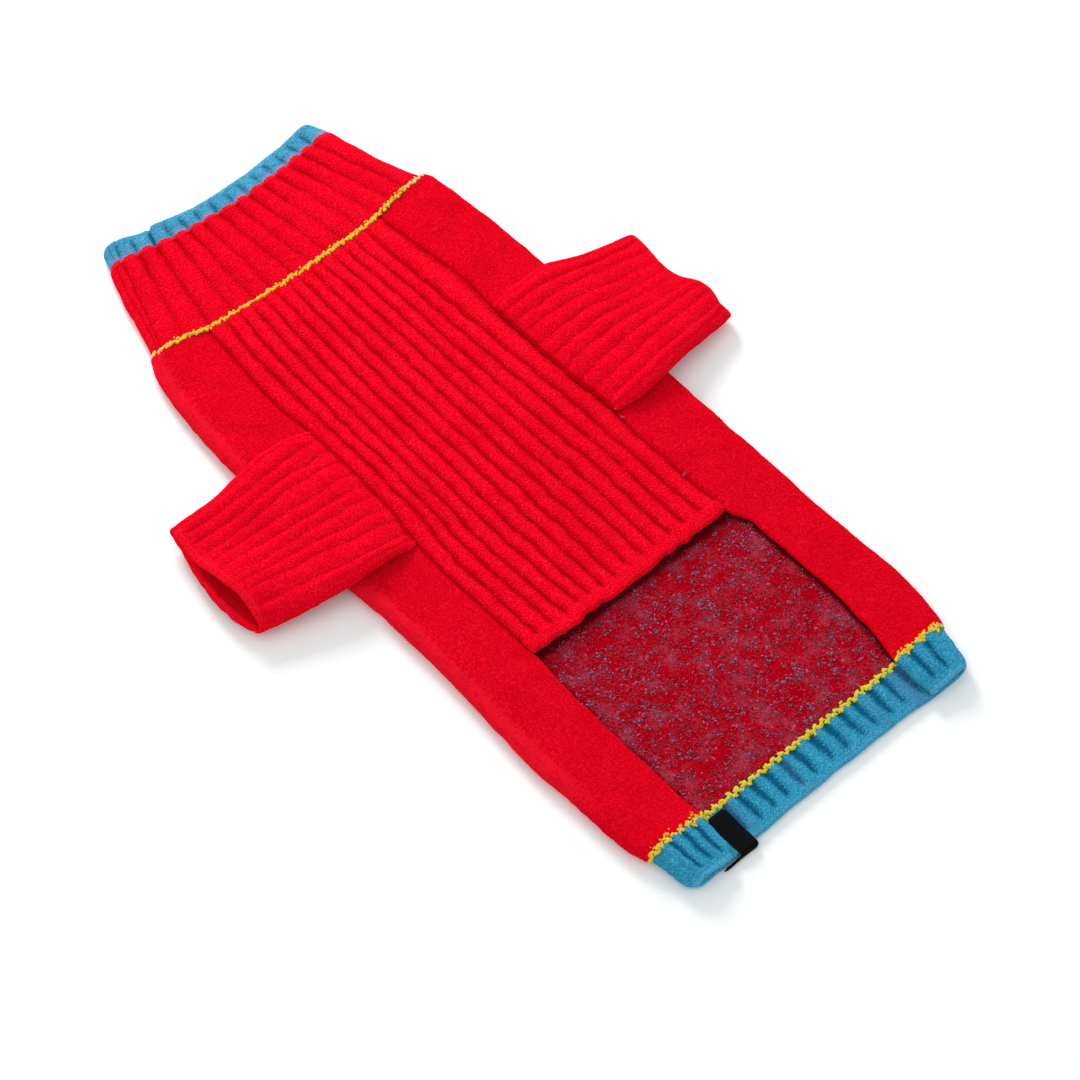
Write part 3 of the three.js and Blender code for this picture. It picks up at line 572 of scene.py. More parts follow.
def side_section(y, edge, fold, at, rise, thickness, rib_rise):
    """A laid-out section's side: the flap from its free edge, then its fold round to the floor."""
    outward = np.sign(fold)
    fold_start = fold - outward * FOLD_RADIUS_X
    top = flap_top(at, y, edge, fold_start)
    angles = np.radians(np.linspace(90, -90, FOLD_STEPS + 1)[1:])
    middle = FOLD_HEIGHT / 2

    def face(flap_z, depth):
        x = fold_start + outward * (FOLD_RADIUS_X - depth) * np.cos(angles)
        z = middle + (middle - depth) * np.sin(angles) + 0 * x
        return np.concatenate([at, x], axis=1), np.concatenate([flap_z, z], axis=1)

    outer, inner = face(top + rise * rib_rise, 0), face(top - thickness, thickness)
    return outer, inner, np.concatenate([rise, np.ones((len(y), FOLD_STEPS))], axis=1)


def body_section(left, right, back_at, back_rise, thickness):
    """Left flap and fold, the back on the floor, right fold and flap; outer and inner x and z, and rise."""
    def face(side, back):
        halves = zip(left[side], back, right[side])
        return [np.concatenate([a, flat, b[:, ::-1]], axis=1) for a, flat, b in halves]

    outer = face(0, (back_at, 0 * back_at))
    inner = face(1, (back_at, thickness + back_rise * HEM_RIB_RISE))
    rise = np.concatenate([left[2], np.maximum(back_rise, 0), right[2][:, ::-1]], axis=1)
    return outer, inner, rise


FLAP_STEP, BODY_ROW_STEP, BACK_STEPS = 1.3, 1.4, 84
FLAP_WIDTH = 34
STITCH_PERIOD = 4.1
SEAM_FURROW = 1.3
FLAP_DIP = 0.25                # how far the flaps dip at their seams and stitches
SEAM_STITCHES = {"aside": 2.2, "half": 0.55, "depth": 0.8}     # beside the right seam, near its ends
FOLD_STITCHES = {"aside": 7.2, "half": 0.6, "depth": 0.75}     # beside the left fold
FOLD_BAND = {"light": 0.55, "inner": 3.9, "outer": -2.6}       # a painted highlight along that fold
SHADE = 5                      # how far in from the cloth round the cut-out its inner face is shaded


def flap_rise(x, y, z):
    """Low along the seams with the belly panel, and at the stitches beside them and the left fold, where the
    flaps dip and the material paints them darker: painted shade in the seam furrows and stitch dips. Above 1
    in a painted highlight along the left fold.
    """
    on_top = rising(z, 4, 5.5)
    left, right = both_sides(FLAP_EDGES, "y", y)
    from_seam = np.maximum(np.where(x < 0, left - x, x - right), 0)
    low = bell(from_seam, SEAM_FURROW) * rising(y, BELLY_END_Y, BELLY_END_Y + 6)
    dots = np.maximum(np.sin(2 * np.pi * y / STITCH_PERIOD + 0.7 * np.sin(y / 9)), 0) ** 2
    near_ends = rising(y, 104, 108) + rising(y, -56, -52) * rising(y, 8, 2)
    beside_seam = bell(x - right - SEAM_STITCHES["aside"], SEAM_STITCHES["half"]) * near_ends
    fold = column(BODY_SIDES, "y", "left", y) + FOLD_STITCHES["aside"]
    beside_fold = bell(x - fold, FOLD_STITCHES["half"]) * rising(y, -90, -60)
    stitches = dots * (SEAM_STITCHES["depth"] * beside_seam + FOLD_STITCHES["depth"] * beside_fold)
    band = rising(x, fold + FOLD_BAND["inner"], fold + FOLD_BAND["outer"]) * rising(y, -150, -110)
    return 1 + FOLD_BAND["light"] * band - on_top * np.clip(low + stitches, 0, 1)


def open_to_light(x, y):
    """Painted light on the inner face: 1 in the middle of the cut-out, 0 under the cloth round it, where the
    material paints shade.
    """
    left, right = both_sides(FLAP_EDGES, "y", y)
    start, end = left - SHADE / 4, right + SHADE / 5
    beside_flaps = rising(x, start, start + SHADE) * rising(x, end, end - SHADE)
    return rising(y, BELLY_END_Y, BELLY_END_Y - 1.1 * SHADE) * beside_flaps


def back_panel(finishes):
    y = spaced(HEM_SEAM_Y, NECK_SEAM_Y, BODY_ROW_STEP)[:, None]
    shares = spaced(0, 1, FLAP_STEP / FLAP_WIDTH, fine_start=True, rounding=EDGE_ROUNDING / FLAP_WIDTH)
    sections, fold_starts = [], []
    for side, outward in SIDES:
        edge = column(FLAP_EDGES, "y", side, y) + outward * (notch(y, side, NOTCH_HIDDEN) + SEAM_GAP / 2)
        fold = column(BODY_SIDES, "y", side, y)
        fold_starts.append(fold - outward * FOLD_RADIUS_X)
        at = mix(edge, fold_starts[-1], shares[None, :])
        sections.append(side_section(y, edge, fold, at, np.ones_like(at), JERSEY_WALL, 0))
    back_at = mix(*fold_starts, np.linspace(0, 1, BACK_STEPS + 1)[None, 1:-1])
    (ox, oz), (ix, iz), _ = body_section(*sections, back_at, np.zeros_like(back_at), JERSEY_WALL)
    rise = flap_rise(ox, y, oz)
    outer = points_of(ox, y + neck_shift(ox, y, oz) + last_row_gap(y), oz)
    inner = points_of(ix, y + neck_shift(ix, y, oz) + last_row_gap(y), iz)
    outer, inner = crease(outer, inner, BODY_CREASES)
    outer = felted(outer, inner, False)
    outer[..., 2] -= FLAP_DIP * np.maximum(1 - rise, 0)
    lift_at_seam(outer, np.minimum(y - HEM_SEAM_Y, NECK_SEAM_Y - y))
    inner = roughened(inner, INNER_LUMPS)
    free = rising(y, BELLY_END_Y - 1, BELLY_END_Y - 5) * np.ones_like(ox)
    outer, inner = round_flap_edges(outer, inner, ox, oz, EDGE_ROUNDING, free)
    # the inner face's share of painted light; the inner material paints shade where it is low
    lit = open_to_light(ix, y)
    return wall("back_panel_cloth", outer, inner, rise, False, finishes, sharp_rows=(0, -1), inner_painted_light=lit)


def belly_lift(x, y, from_edge):
    """How far the belly panel stands off: in low waves, over the armhole and at its end."""
    over_armhole = bell(y - ARMHOLE_MIDDLE["left"], 30) * rising(np.abs(x), 15, 50)
    waves = (0.6 + unevenness(x, y)) * rising(from_edge, 0, 9)
    return waves + 0.9 * over_armhole + 0.9 * rising(y, -40, BELLY_END_Y)


ROLLED_EDGE_Y = -49.5
ROLL_RADIUS = 2.3
BELLY_ROW_STEP = 0.95
BELLY_FADE = {"from": 171, "to": 179, "share": 0.8}    # its ribs fade toward the neck seam
SCALLOPS = {"size": 4.6, "reach": 1.0}


def belly_panel(finishes):
    y = spaced(BELLY_END_Y, NECK_SEAM_Y, BELLY_ROW_STEP, fine_start=True)[:, None]
    furrows = [between(BELLY_FURROW_YS, f, y) for f in BELLY_FURROWS]
    left, right = both_sides(FLAP_EDGES, "y", y)
    left, right = left + SEAM_GAP / 2, right - SEAM_GAP / 2
    at, rise, _ = rib_run(np.concatenate([left, *furrows, right], axis=1), y)
    rise = mix(rise, 0.75 + 0.12 * rise, rising(y, ROLLED_EDGE_Y, ROLLED_EDGE_Y - 3))
    faded = BELLY_FADE["share"] * rising(y, BELLY_FADE["from"], BELLY_FADE["to"])
    rise = mix(rise, 0.55 + 0.3 * rise, faded)
    scallops = SCALLOPS["reach"] * noise(points_of(at, 0, 0), SCALLOPS["size"])
    place_y = y + neck_shift(at, y, FLAP_EDGE_TOP) + last_row_gap(y)
    place_y = place_y + scallops * rising(y, ROLLED_EDGE_Y + 4, ROLLED_EDGE_Y - 4)
    under = BELLY_UNDERSIDE + belly_lift(at, y, np.minimum(at - left, right - at))
    outer = points_of(at, place_y, under + RIB_WALL + RIB_RISE * rise)
    inner = points_of(at, place_y, under)
    outer, inner = crease(outer, inner, BELLY_CREASES)
    outer = felted(outer, inner, False)
    outer, inner = round_edge(outer, inner, arc_lengths(outer, 0), ROLL_RADIUS)
    shown = np.maximum(rise, 0) ** 0.8
    return wall("belly_panel_cloth", outer, inner, shown, False, finishes, sharp_rows=(-1,))


# Collar and border

SIDE_STEPS = 12
TURN = np.radians(np.linspace(90, -90, SIDE_STEPS + 2)[1:-1])[None, :]     # from the upper layer to the lower
NECK_SIDE_RADIUS = 4
NECK_BACK_RIBS = 14
NECK_BACK_RISE = 0.5
NECK_HEIGHTS = (6.4, 5.3)              # at the sides and in the middle
TUBE_SEAM = {"furrow": 2, "half": 0.8, "depth": 0.5}


def neck_top(x, left, right):
    across = np.clip((x - left) / (right - left), 0, 1)
    return mix(*NECK_HEIGHTS, np.sin(np.pi * across) ** 0.5)


def tube_seam_x(furrows):
    return furrows[:, TUBE_SEAM["furrow"]:TUBE_SEAM["furrow"] + 1]


def neck_section(left, right, furrows, fade, along):
    """A flattened tube, ribbed above and more flatly below, where it lies."""
    start, end = left + NECK_SIDE_RADIUS, right - NECK_SIDE_RADIUS
    at, rise, shown = rib_run(np.concatenate([start, furrows, end], axis=1), along, rolls=True)
    top = neck_top(at, left, right)
    seam = TUBE_SEAM["depth"] * bell(at - tube_seam_x(furrows), TUBE_SEAM["half"])
    parts = [(at, top + RIB_RISE * fade * rise - seam, at, top - RIB_WALL, shown)]

    def side(centre, outward, turned):
        half = neck_top(centre, left, right) / 2
        reach, up = outward * np.cos(turned), np.sin(turned)
        return (
            centre + NECK_SIDE_RADIUS * reach, half + half * up,
            centre + (NECK_SIDE_RADIUS - RIB_WALL) * reach, half + (half - RIB_WALL) * up,
            np.ones_like(reach + centre))

    parts.append(side(end, 1, TURN))
    back_lines = mix(end, start, np.linspace(0, 1, NECK_BACK_RIBS + 1)[None, :])
    back, _, shown = rib_run(back_lines, along, rolls=True)
    parts.append((back, NECK_BACK_RISE * fade * (1 - shown), back, RIB_WALL + 0 * back, shown))
    parts.append(side(start, -1, TURN[:, ::-1]))
    return [np.concatenate(values, axis=1) for values in zip(*parts)]


COLLAR_ROW_STEP = 1.0
COLLAR_START_Y, COLLAR_END_Y = 184, 237
COLLAR_RIB_FADE = (0.35, 0.95)         # of a rib's rise: at the seam, and from a quarter of the way on
COLLAR_SHOWN = {"furrows": (0.38, 0.0), "crests": 0.93}        # the furrows' painted shade darkens toward the border, and the crests get a little painted shade


def neck_collar(finishes):
    length = COLLAR_END_Y - COLLAR_START_Y
    share = spaced(0, 1, COLLAR_ROW_STEP / length)[:, None]
    row_y = mix(COLLAR_START_Y, COLLAR_END_Y, share)
    furrows = mix(NECK_FURROWS["base"][None, :], NECK_FURROWS["end"][None, :], share)
    fade = mix(*COLLAR_RIB_FADE, rising(share, 0, 0.25))
    ox, oz, ix, iz, rise = neck_section(*both_sides(COLLAR_SIDES, "y", row_y), furrows, fade, row_y)
    furrows_shown = mix(*COLLAR_SHOWN["furrows"], rising(share, 0.6, 1))
    rise = mix(furrows_shown, COLLAR_SHOWN["crests"], rise ** 0.7)

    def place(x):
        return mix(neck_seam_y(x, oz) + SEAM_GAP / 2, column(COLLAR_END, "x", "y", x) - SEAM_GAP / 2, share)

    outer, inner = crease(points_of(ox, place(ox), oz), points_of(ix, place(ix), iz), COLLAR_CREASES)
    outer = felted(outer, inner, True)
    lift_at_seam(outer, share * length)
    return wall("neck_collar_cloth", outer, inner, rise, True, finishes, sharp_rows=(0, -1))


# How far past 1 the rise goes along a border's end edge, for a painted highlight
RIM_LIGHT = 0.5
NOTCH_AT_SEAM = {"depth": 1.3, "half": 1.1}
BORDER_LENGTH = 14
BORDER_ROWS = {"step": 0.065, "rounding": 0.09}        # as shares of its length
BORDER_END_RADIUS = 1.6


def rimmed(rise, share, start):
    """Rise goes on past 1 along a border's end edge, which the material shows lighter as a painted highlight.
    """
    return rise + RIM_LIGHT * rising(share, start, 1)


def neck_border(finishes):
    share = spaced(0, 1, fine_end=True, **BORDER_ROWS)[:, None]
    left, right = both_sides(BORDER_SIDES, "share", share)
    furrows = mix(left, right, (NECK_FURROWS["end"][None, :] - left[0]) / (right[0] - left[0]))
    flatter = mix(0.8, 0.3, rising(share, 0.4, 0.8))
    along = COLLAR_END_Y + BORDER_LENGTH * share
    ox, oz, ix, iz, rise = neck_section(left, right, furrows, flatter, along)
    rise = mix(mix(0.3, 1, rise), 1, rising(share, 0.66, 0.88))
    at_seam = tube_seam_x(furrows)
    seam = bell(ox - at_seam, 0.7) * rising(oz, 3, 5)
    rise = rimmed(rise * (1 - seam), share, 0.72)

    def place(x):
        notched = column(NECK_END, "x", "y", x)
        notched = notched - NOTCH_AT_SEAM["depth"] * bell(x - at_seam, NOTCH_AT_SEAM["half"])
        return mix(column(COLLAR_END, "x", "y", x) + SEAM_GAP / 2, notched, share)

    outer, inner = points_of(ox, place(ox), oz), points_of(ix, place(ix), iz)
    outer = felted(outer, inner, True)
    outer, inner = round_end(outer, inner, BORDER_END_RADIUS)
    return wall("neck_border_cloth", outer, inner, rise, True, finishes, sharp_rows=(0,))


# Hem border

HEM_EDGES = {"left": -58, "right": 57.2}
HEM_TAPER = {"left": 3, "right": 0}    # how far a flap's corner draws outward at the end
HEM_NARROWING = 0.97
HEM_BACK_ENDS = (-46.4, 56)            # the inner face is plain under the label and the flaps
HEM_PLAIN_STEPS = {"left": 16, "right": 12}
HEM_END_RADIUS, HEM_FLAP_RADIUS = 1.5, 1.1
HEM_ROWS = {"step": 0.045, "rounding": 0.06}   # as shares of its length
HEM_WEDGE = (1.7, 0.7)                 # its furrows show wide at the seam and narrow at the end

# Where mauve wool shows in the hem: x, width, share
HEM_PURPLE = ((53.5, 3.5, 0.6), (35, 2, 0.25), (-13, 2, 0.25), (-44, 2.5, 0.35))


def hem_border(finishes):
    share = spaced(0, 1, fine_end=True, **HEM_ROWS)[:, None]
    y = mix(HEM_SEAM_Y, HEM_END_Y, share)
    wedge = mix(*HEM_WEDGE, share)
    end = rising(share, 0.66, 0.96)
    sections, fold_starts = [], []
    for side, outward in SIDES:
        fold = column(HEM_SIDES, "share", side, share)
        fold_starts.append(fold - outward * FOLD_RADIUS_X)
        edge = HEM_EDGES[side] - HEM_TAPER[side] * rising(share, 0.7, 1)
        lines = [mix(x, x * HEM_NARROWING, share) for x in HEM_FLAP_FURROWS[side]]
        at, rise, shown = rib_run(np.concatenate([edge, *lines, fold_starts[-1]], axis=1), y, rolls=True)
        section = side_section(y, edge, fold, at, mix(rise, 0.4, end), RIB_WALL, HEM_RIB_RISE)
        section[2][:, :at.shape[1]] = mix(shown ** wedge, 1, end)
        sections.append(section)
    start_x, end_x = HEM_BACK_ENDS
    ribs_at, ribs, _ = rib_run(np.array((start_x, *HEM_BACK_FURROWS, end_x)) + 0 * share, y)
    steps = {side: np.linspace(0, 1, count)[None, 1:-1] for side, count in HEM_PLAIN_STEPS.items()}
    plain_left = mix(fold_starts[0], ribs_at[:, :1], steps["left"])
    plain_right = mix(ribs_at[:, -1:], fold_starts[1], steps["right"])
    back_at = np.concatenate([plain_left, ribs_at, plain_right], axis=1)
    ribs = mix(np.maximum(ribs, 0) ** wedge, 0.9, rising(share, 0.64, 0.94))
    back_rise = np.concatenate([0.8 + 0 * plain_left, ribs, 0.8 + 0 * plain_right], axis=1)
    (ox, oz), (ix, iz), rise = body_section(*sections, back_at, back_rise, RIB_WALL)

    def place(x):
        return mix(HEM_SEAM_Y - SEAM_GAP, column(HEM_END, "x", "y", x), share)

    outer, inner = points_of(ox, place(ox), oz), points_of(ix, place(ix), iz)
    outer = felted(outer, inner, False)
    lift_at_seam(outer, share * (HEM_SEAM_Y - HEM_END_Y))
    inner = roughened(inner, HEM_INNER_LUMPS)
    outer, inner = round_end(outer, inner, HEM_END_RADIUS)
    outer, inner = round_flap_edges(outer, inner, ox, oz, HEM_FLAP_RADIUS)
    rise = rimmed(rise, share, 0.78)
    obj = wall("hem_border_cloth", outer, inner, rise, False, finishes, sharp_rows=(0,))
    purple = sum(share_of * bell(ox - x, width) for x, width, share_of in HEM_PURPLE) * (oz < FLOOR_LAYER_TOP)
    give(obj, "tint", np.concatenate([purple.reshape(-1)] * 2))
    return obj


# Sleeves

SLEEVE_LENGTH = 80
SLEEVE_SIDE_REACH = 3.6
SLEEVE_CLEARANCE = 0.4
UNDER_RIBS = 8
UNDER_ROOT_DEPTH = 0.85                # how far into its notch the lower layer's root lies
SMALLEST_HALF = 0.15                   # half the least height inside a sleeve's side
MOUTH_START = 0.6                      # share of the sleeve where its layers begin to part
MOUTH_SHARES = {"over": 0.65, "under": 0.25}   # how far each layer parts, of the mouth's height
CUFF_ROLL = 0.42                       # how far the cuff's lower edge curls up, of the mouth's height
CUFF_RADIUS = 1.5
SLEEVE_ROWS = {"step": 0.0125, "rounding": 0.016}      # as shares of its length
SLEEVE_RIB_RISE = 0.82
# Painted furrow shade on the sleeves' ribs; the plain cuff band, over 1, is painted lighter
SLEEVE_SHOWN = {"furrows": 0.53, "cuff": 1.3}
ROOT_SEAM = {"reach": 2.8, "depth": 0.8}
FAINT_RIBS = {"half": 16, "share": 0.6}        # the ribs are fainter in the middle of the cuff


def sleeve(side, finishes):
    spec = SLEEVES[side]
    mouth = spec["mouth"]
    outward = dict(SIDES)[side]
    share = spaced(0, 1, fine_end=True, **SLEEVE_ROWS)[:, None]
    names = ("front", "rear", "over", "under", "rib")
    ring = {name: column(spec["rings"], "share", name, share) for name in names}
    opening = rising(share, MOUTH_START, 1) * mouth["height"]

    def lens(y):
        from_middle = np.minimum(1, np.abs(y - mouth["middle"]) / mouth["half"])
        return opening * np.cos(from_middle * np.pi / 2) ** 2

    def over_x(y):
        root = column(FLAP_EDGES, "y", side, y) + outward * SEAM_GAP / 2
        return mix(root, column(spec["cuff"], "y", "over", y), share)

    def under_x(y):
        into_notch = notch(y, side) * UNDER_ROOT_DEPTH + SEAM_GAP / 2
        root = column(FLAP_EDGES, "y", side, y) + outward * into_notch
        return mix(root, column(spec["cuff"], "y", "under", y), share)

    def over_z(y):
        return ring["over"] + lens(y) * MOUTH_SHARES["over"]

    def under_z(y):
        clear = body_top(under_x(y), y, side) + SLEEVE_CLEARANCE + RIB_RISE * ring["rib"]
        return np.maximum(ring["under"] - lens(y) * MOUTH_SHARES["under"], clear)

    def turn(start, forward, turned):
        high, low = over_z(start), under_z(start)
        middle, half = (high + low) / 2, (high - low) / 2
        up, reach = np.sin(turned), forward * np.cos(turned)
        x = mix(under_x(start), over_x(start), (up + 1) / 2)
        in_half = np.maximum(half - RIB_WALL, SMALLEST_HALF)
        return (
            x, start + SLEEVE_SIDE_REACH * reach, middle + half * up,
            x, start + (SLEEVE_SIDE_REACH - RIB_WALL) * reach, middle + in_half * up, np.ones_like(x))

    front, rear = ring["front"] - SLEEVE_SIDE_REACH, ring["rear"] + SLEEVE_SIDE_REACH
    along = outward * SLEEVE_LENGTH * share
    lines = [between(SLEEVE_FURROW_SHARES, f, share) for f in spec["furrows"]]
    at, rise, shown = rib_run(np.concatenate([front, *lines, rear], axis=1), along, rolls=True)
    faint = FAINT_RIBS["share"] * bell(at - mouth["middle"], FAINT_RIBS["half"]) * rising(share, 0.45, 0.8)
    rise, shown = mix(rise, 0.85, faint), mix(shown, 1, faint)
    at_cuff = rising(share, spec["plain_from"], spec["plain_from"] + 0.04)
    from_folds = np.minimum(at - at[:, -1:], at[:, :1] - at)
    rise = mix(rise, (0.8 + 0.1 * rise) * rising(from_folds, 0, 3), at_cuff)
    rise = rise * SLEEVE_RIB_RISE * mix(0.6, 1, rising(share, 0, 0.2))
    shown = mix(mix(SLEEVE_SHOWN["furrows"], 1, shown ** 0.6), SLEEVE_SHOWN["cuff"], at_cuff)
    # Near the root the sleeve dips into its seam, where the material paints furrow shade
    from_root = rising(share * SLEEVE_LENGTH, 0, ROOT_SEAM["reach"])
    top = over_z(at) - ROOT_SEAM["depth"] * (1 - from_root)
    parts = [(over_x(at), at, top + rise, over_x(at), at, top - RIB_WALL, shown * from_root)]
    parts.append(turn(rear, -1, TURN))
    under_lines = mix(rear, front, np.linspace(0, 1, UNDER_RIBS + 1)[None, :])
    at, rise, shown = rib_run(under_lines, along, rolls=True)
    low, ribs = under_z(at), RIB_RISE * ring["rib"] * rise
    curl = CUFF_ROLL * lens(at) * rising(share, 0.93, 0.98)
    parts.append((under_x(at), at, low - ribs, under_x(at), at, low + RIB_WALL + curl, shown))
    parts.append(turn(front, 1, TURN[:, ::-1]))
    ox, oy, oz, ix, iy, iz, rise = [np.concatenate(values, axis=1) for values in zip(*parts)]
    outer, inner = crease(points_of(ox, oy, oz), points_of(ix, iy, iz), SLEEVE_CREASES)
    outer = felted(outer, inner, True)
    outer, inner = round_end(outer, inner, CUFF_RADIUS)
    # Painted light and shade inside the tube: the lower wall near the cuff's mouth is painted lit, the rest of
    # the inside painted in shade
    half_way = (oz.max(axis=1, keepdims=True) + oz.min(axis=1, keepdims=True)) / 2
    in_light = rising(iz, half_way + 1.2, half_way - 0.3) * rising(share, 0.9, 0.96)
    name = f"sleeve_{side}_cloth"
    return wall(name, outer, inner, rise, True, finishes, sharp_rows=(0,), inner_painted_light=in_light)


# Label

LABEL = {"left": -56.9, "right": -47, "tail": -66.4, "top": -165.7, "end": -186.5, "wall": 0.8, "lift": 0.3}
LABEL_ROUND = 1.0
LABEL_EDGE_RADIUS = 0.5
LABEL_STEPS = {"strip": 14, "turn": 7, "tail": 6, "across": 15}


def label(finish_with):
    """The black woven strip on the hem's inner face, turned down over the hem's end."""
    on_hem = RIB_WALL + LABEL["lift"] + 0.5
    turn = np.radians(np.linspace(0, 90, LABEL_STEPS["turn"]))[1:]
    ys = [
        np.linspace(LABEL["top"], LABEL["end"] + LABEL_ROUND, LABEL_STEPS["strip"]),
        LABEL["end"] + LABEL_ROUND * (1 - np.sin(turn)),
        np.full(LABEL_STEPS["tail"] - 1, LABEL["end"] - 0.05)]
    zs = [
        np.full(LABEL_STEPS["strip"], on_hem),
        on_hem - LABEL_ROUND * (1 - np.cos(turn)),
        np.linspace(on_hem - LABEL_ROUND, 0.35, LABEL_STEPS["tail"])[1:]]
    ys, zs = np.concatenate(ys), np.concatenate(zs)
    normal = unit(np.stack([np.gradient(zs), -np.gradient(ys)], axis=1))
    normal *= np.sign(normal[:1, 1:2])
    ys, zs = ys[:, None], zs[:, None]
    corner = 1.1 * np.sqrt(1 - np.clip((LABEL["top"] - ys) / 1.4, 0, 1)) ** 2
    left = mix(LABEL["left"], LABEL["tail"], rising(zs, on_hem - 0.6, on_hem - 1.4))
    x = mix(left + corner, LABEL["right"] - corner, np.linspace(0, 1, LABEL_STEPS["across"])[None, :])
    wave = 0.12 * noise(points_of(x, ys, 0), 4.0)
    outer = points_of(x, ys + normal[:, :1] * LABEL["wall"], zs + normal[:, 1:] * 0.55 + wave)
    inner = points_of(x, ys, zs + wave)
    lengths = arc_lengths(outer, 1)
    distance = np.minimum(lengths, lengths[:, -1:] - lengths)
    outer, inner = round_edge(outer, inner, distance, LABEL_EDGE_RADIUS)
    return wall("label_cloth", outer, inner, np.ones_like(x), False, [finish_with])


# Joining rows

LUMP_SIDES, LUMP_RINGS = 8, 4


def lump():
    """A unit ball's points and faces."""
    angles = np.arange(LUMP_SIDES) * 2 * np.pi / LUMP_SIDES
    points = [(1, 0, 0)]
    for ring in range(1, LUMP_RINGS):
        tilt = np.pi * ring / LUMP_RINGS
        wide = math.sin(tilt)
        points += [(math.cos(tilt), wide * math.cos(a), wide * math.sin(a)) for a in angles]
    points.append((-1, 0, 0))
    faces = []
    for k in range(LUMP_SIDES):
        after = (k + 1) % LUMP_SIDES
        faces.append((0, 1 + k, 1 + after))
        for ring in range(LUMP_RINGS - 2):
            a, b = 1 + ring * LUMP_SIDES, 1 + (ring + 1) * LUMP_SIDES
            faces += [(a + k, b + k, b + after), (a + k, b + after, a + after)]
        last = 1 + (LUMP_RINGS - 2) * LUMP_SIDES
        faces.append((last + k, len(points) - 1, last + after))
    return np.array(points, float), np.array(faces)


def along_line(line, outs, pitch, closed):
    """Places a pitch apart along a line of points, with the way on and the way out of the cloth."""
    if closed:
        line, outs = np.concatenate([line, line[:1]]), np.concatenate([outs, outs[:1]])
    lengths = np.concatenate([[0], np.cumsum(np.linalg.norm(np.diff(line, axis=0), axis=1))])
    at = np.arange(pitch / 2, lengths[-1] - pitch / 4, pitch)

    def look(values, places):
        return np.stack([np.interp(places, lengths, values[:, k]) for k in range(3)], axis=1)

    way = unit(look(line, at + 0.8) - look(line, at - 0.8))
    return look(line, at), way, unit(look(outs, at)), at


def joining_row(name, centres, way, out, lean, half, tones, seed, finish_with, lean_spread=9, stray=0.16):
    """One lump of yarn after another, each leaning across the row by its own angle."""
    rng = np.random.default_rng(seed)
    count = len(centres)
    side = unit(np.cross(out, way))
    lean = np.radians(lean + rng.normal(0, lean_spread, count))[:, None]
    long_way = np.cos(lean) * way + np.sin(lean) * side
    wide_way = -np.sin(lean) * way + np.cos(lean) * side
    size = np.array(half) * rng.uniform(0.8, 1.2, (count, 3))
    ball, faces = lump()
    bumps = 1 + rng.normal(0, 0.05, (count, len(ball), 1))
    local = ball[None] * bumps * size[:, None, :]
    axes = np.stack([long_way, wide_way, out], axis=1)
    moved = centres + side * rng.normal(0, stray, (count, 1))
    points = moved[:, None, :] + np.einsum("nvk,nkd->nvd", local, axes)
    # each lump's height from its lower side to its top, for the painted shade on its lower side
    height = np.broadcast_to(0.5 + 0.5 * ball[None, :, 2:], (count, len(ball), 1))
    shown = np.concatenate([np.broadcast_to(tones[:, None, :], (count, len(ball), 2)), height], axis=2)
    return many_objects_as_one(name, points, faces, shown.reshape(-1, 3), finish_with)


def neck_seam_ring():
    """The neck seam's line all round the tube, and the way out of the cloth."""
    row_y = np.full((1, 1), COLLAR_START_Y, float)
    sides, furrows = both_sides(COLLAR_SIDES, "y", row_y), NECK_FURROWS["base"][None, :]
    ox, oz, ix, iz, _ = neck_section(*sides, furrows, COLLAR_RIB_FADE[0], row_y)
    line, inner = points_of(ox, neck_seam_y(ox, oz), oz)[0], points_of(ix, neck_seam_y(ix, oz), iz)[0]
    return line, unit(line - inner)


def hem_line(y, inner_face):
    """The hem seam's line: over the flaps and round the back, or along the inner face between the flaps."""
    if inner_face:
        x = np.linspace(HEM_EDGES["left"] - 4, HEM_EDGES["right"] + 4, 60)
        return points_of(x, y, JERSEY_WALL), np.tile((0.0, 0.0, 1.0), (len(x), 1))
    share = np.zeros((1, 1))
    row_y = share + HEM_SEAM_Y
    halves = []
    for side, outward in SIDES:
        fold = column(HEM_SIDES, "share", side, share)
        edge = column(FLAP_EDGES, "y", side, row_y)
        at = mix(edge, fold - outward * FOLD_RADIUS_X, np.linspace(0, 1, 20)[None, :])
        outer, inner, _ = side_section(row_y, edge, fold, at, 0 * at, RIB_WALL, 0)
        halves.append([points_of(x[0], y, z[0]) for x, z in (outer, inner)])
    lines = [np.concatenate([halves[0][k], halves[1][k][::-1]]) for k in (0, 1)]
    return lines[0], unit(lines[0] - lines[1])


NECK_STITCH_PITCH, HEM_STITCH_PITCH = 0.95, 0.42
NECK_STITCH_HALF, HEM_STITCH_HALF = (1.3, 0.74, 0.74), (1.15, 0.7, 0.62)
CURL_HALF = (0.8, 0.55, 0.45)
CURL_PITCH = 0.5
HEM_TOOTH = {"period": 4.2, "reach": 0.75}     # the row's teeth toward the neck
TOWARD_NECK = np.array((0, 1, 0))
PALE_FROM = {"neck": 66, "hem": 80, "nowhere": 200}    # how far from the middle the yarn grows pale


def row_tones(x, seed, lemon, edge):
    """How lemon each lump is, and how pale, which is most at the garment's side folds."""
    rng = np.random.default_rng(seed)
    lemons = np.clip(lemon + rng.normal(0, 0.3, len(x)), 0, 1)
    pale = np.clip(rising(np.abs(x + 3), edge, edge + 14) * 0.8 + rng.normal(0, 0.08, len(x)), 0, 1)
    return np.stack([lemons, pale], axis=1)


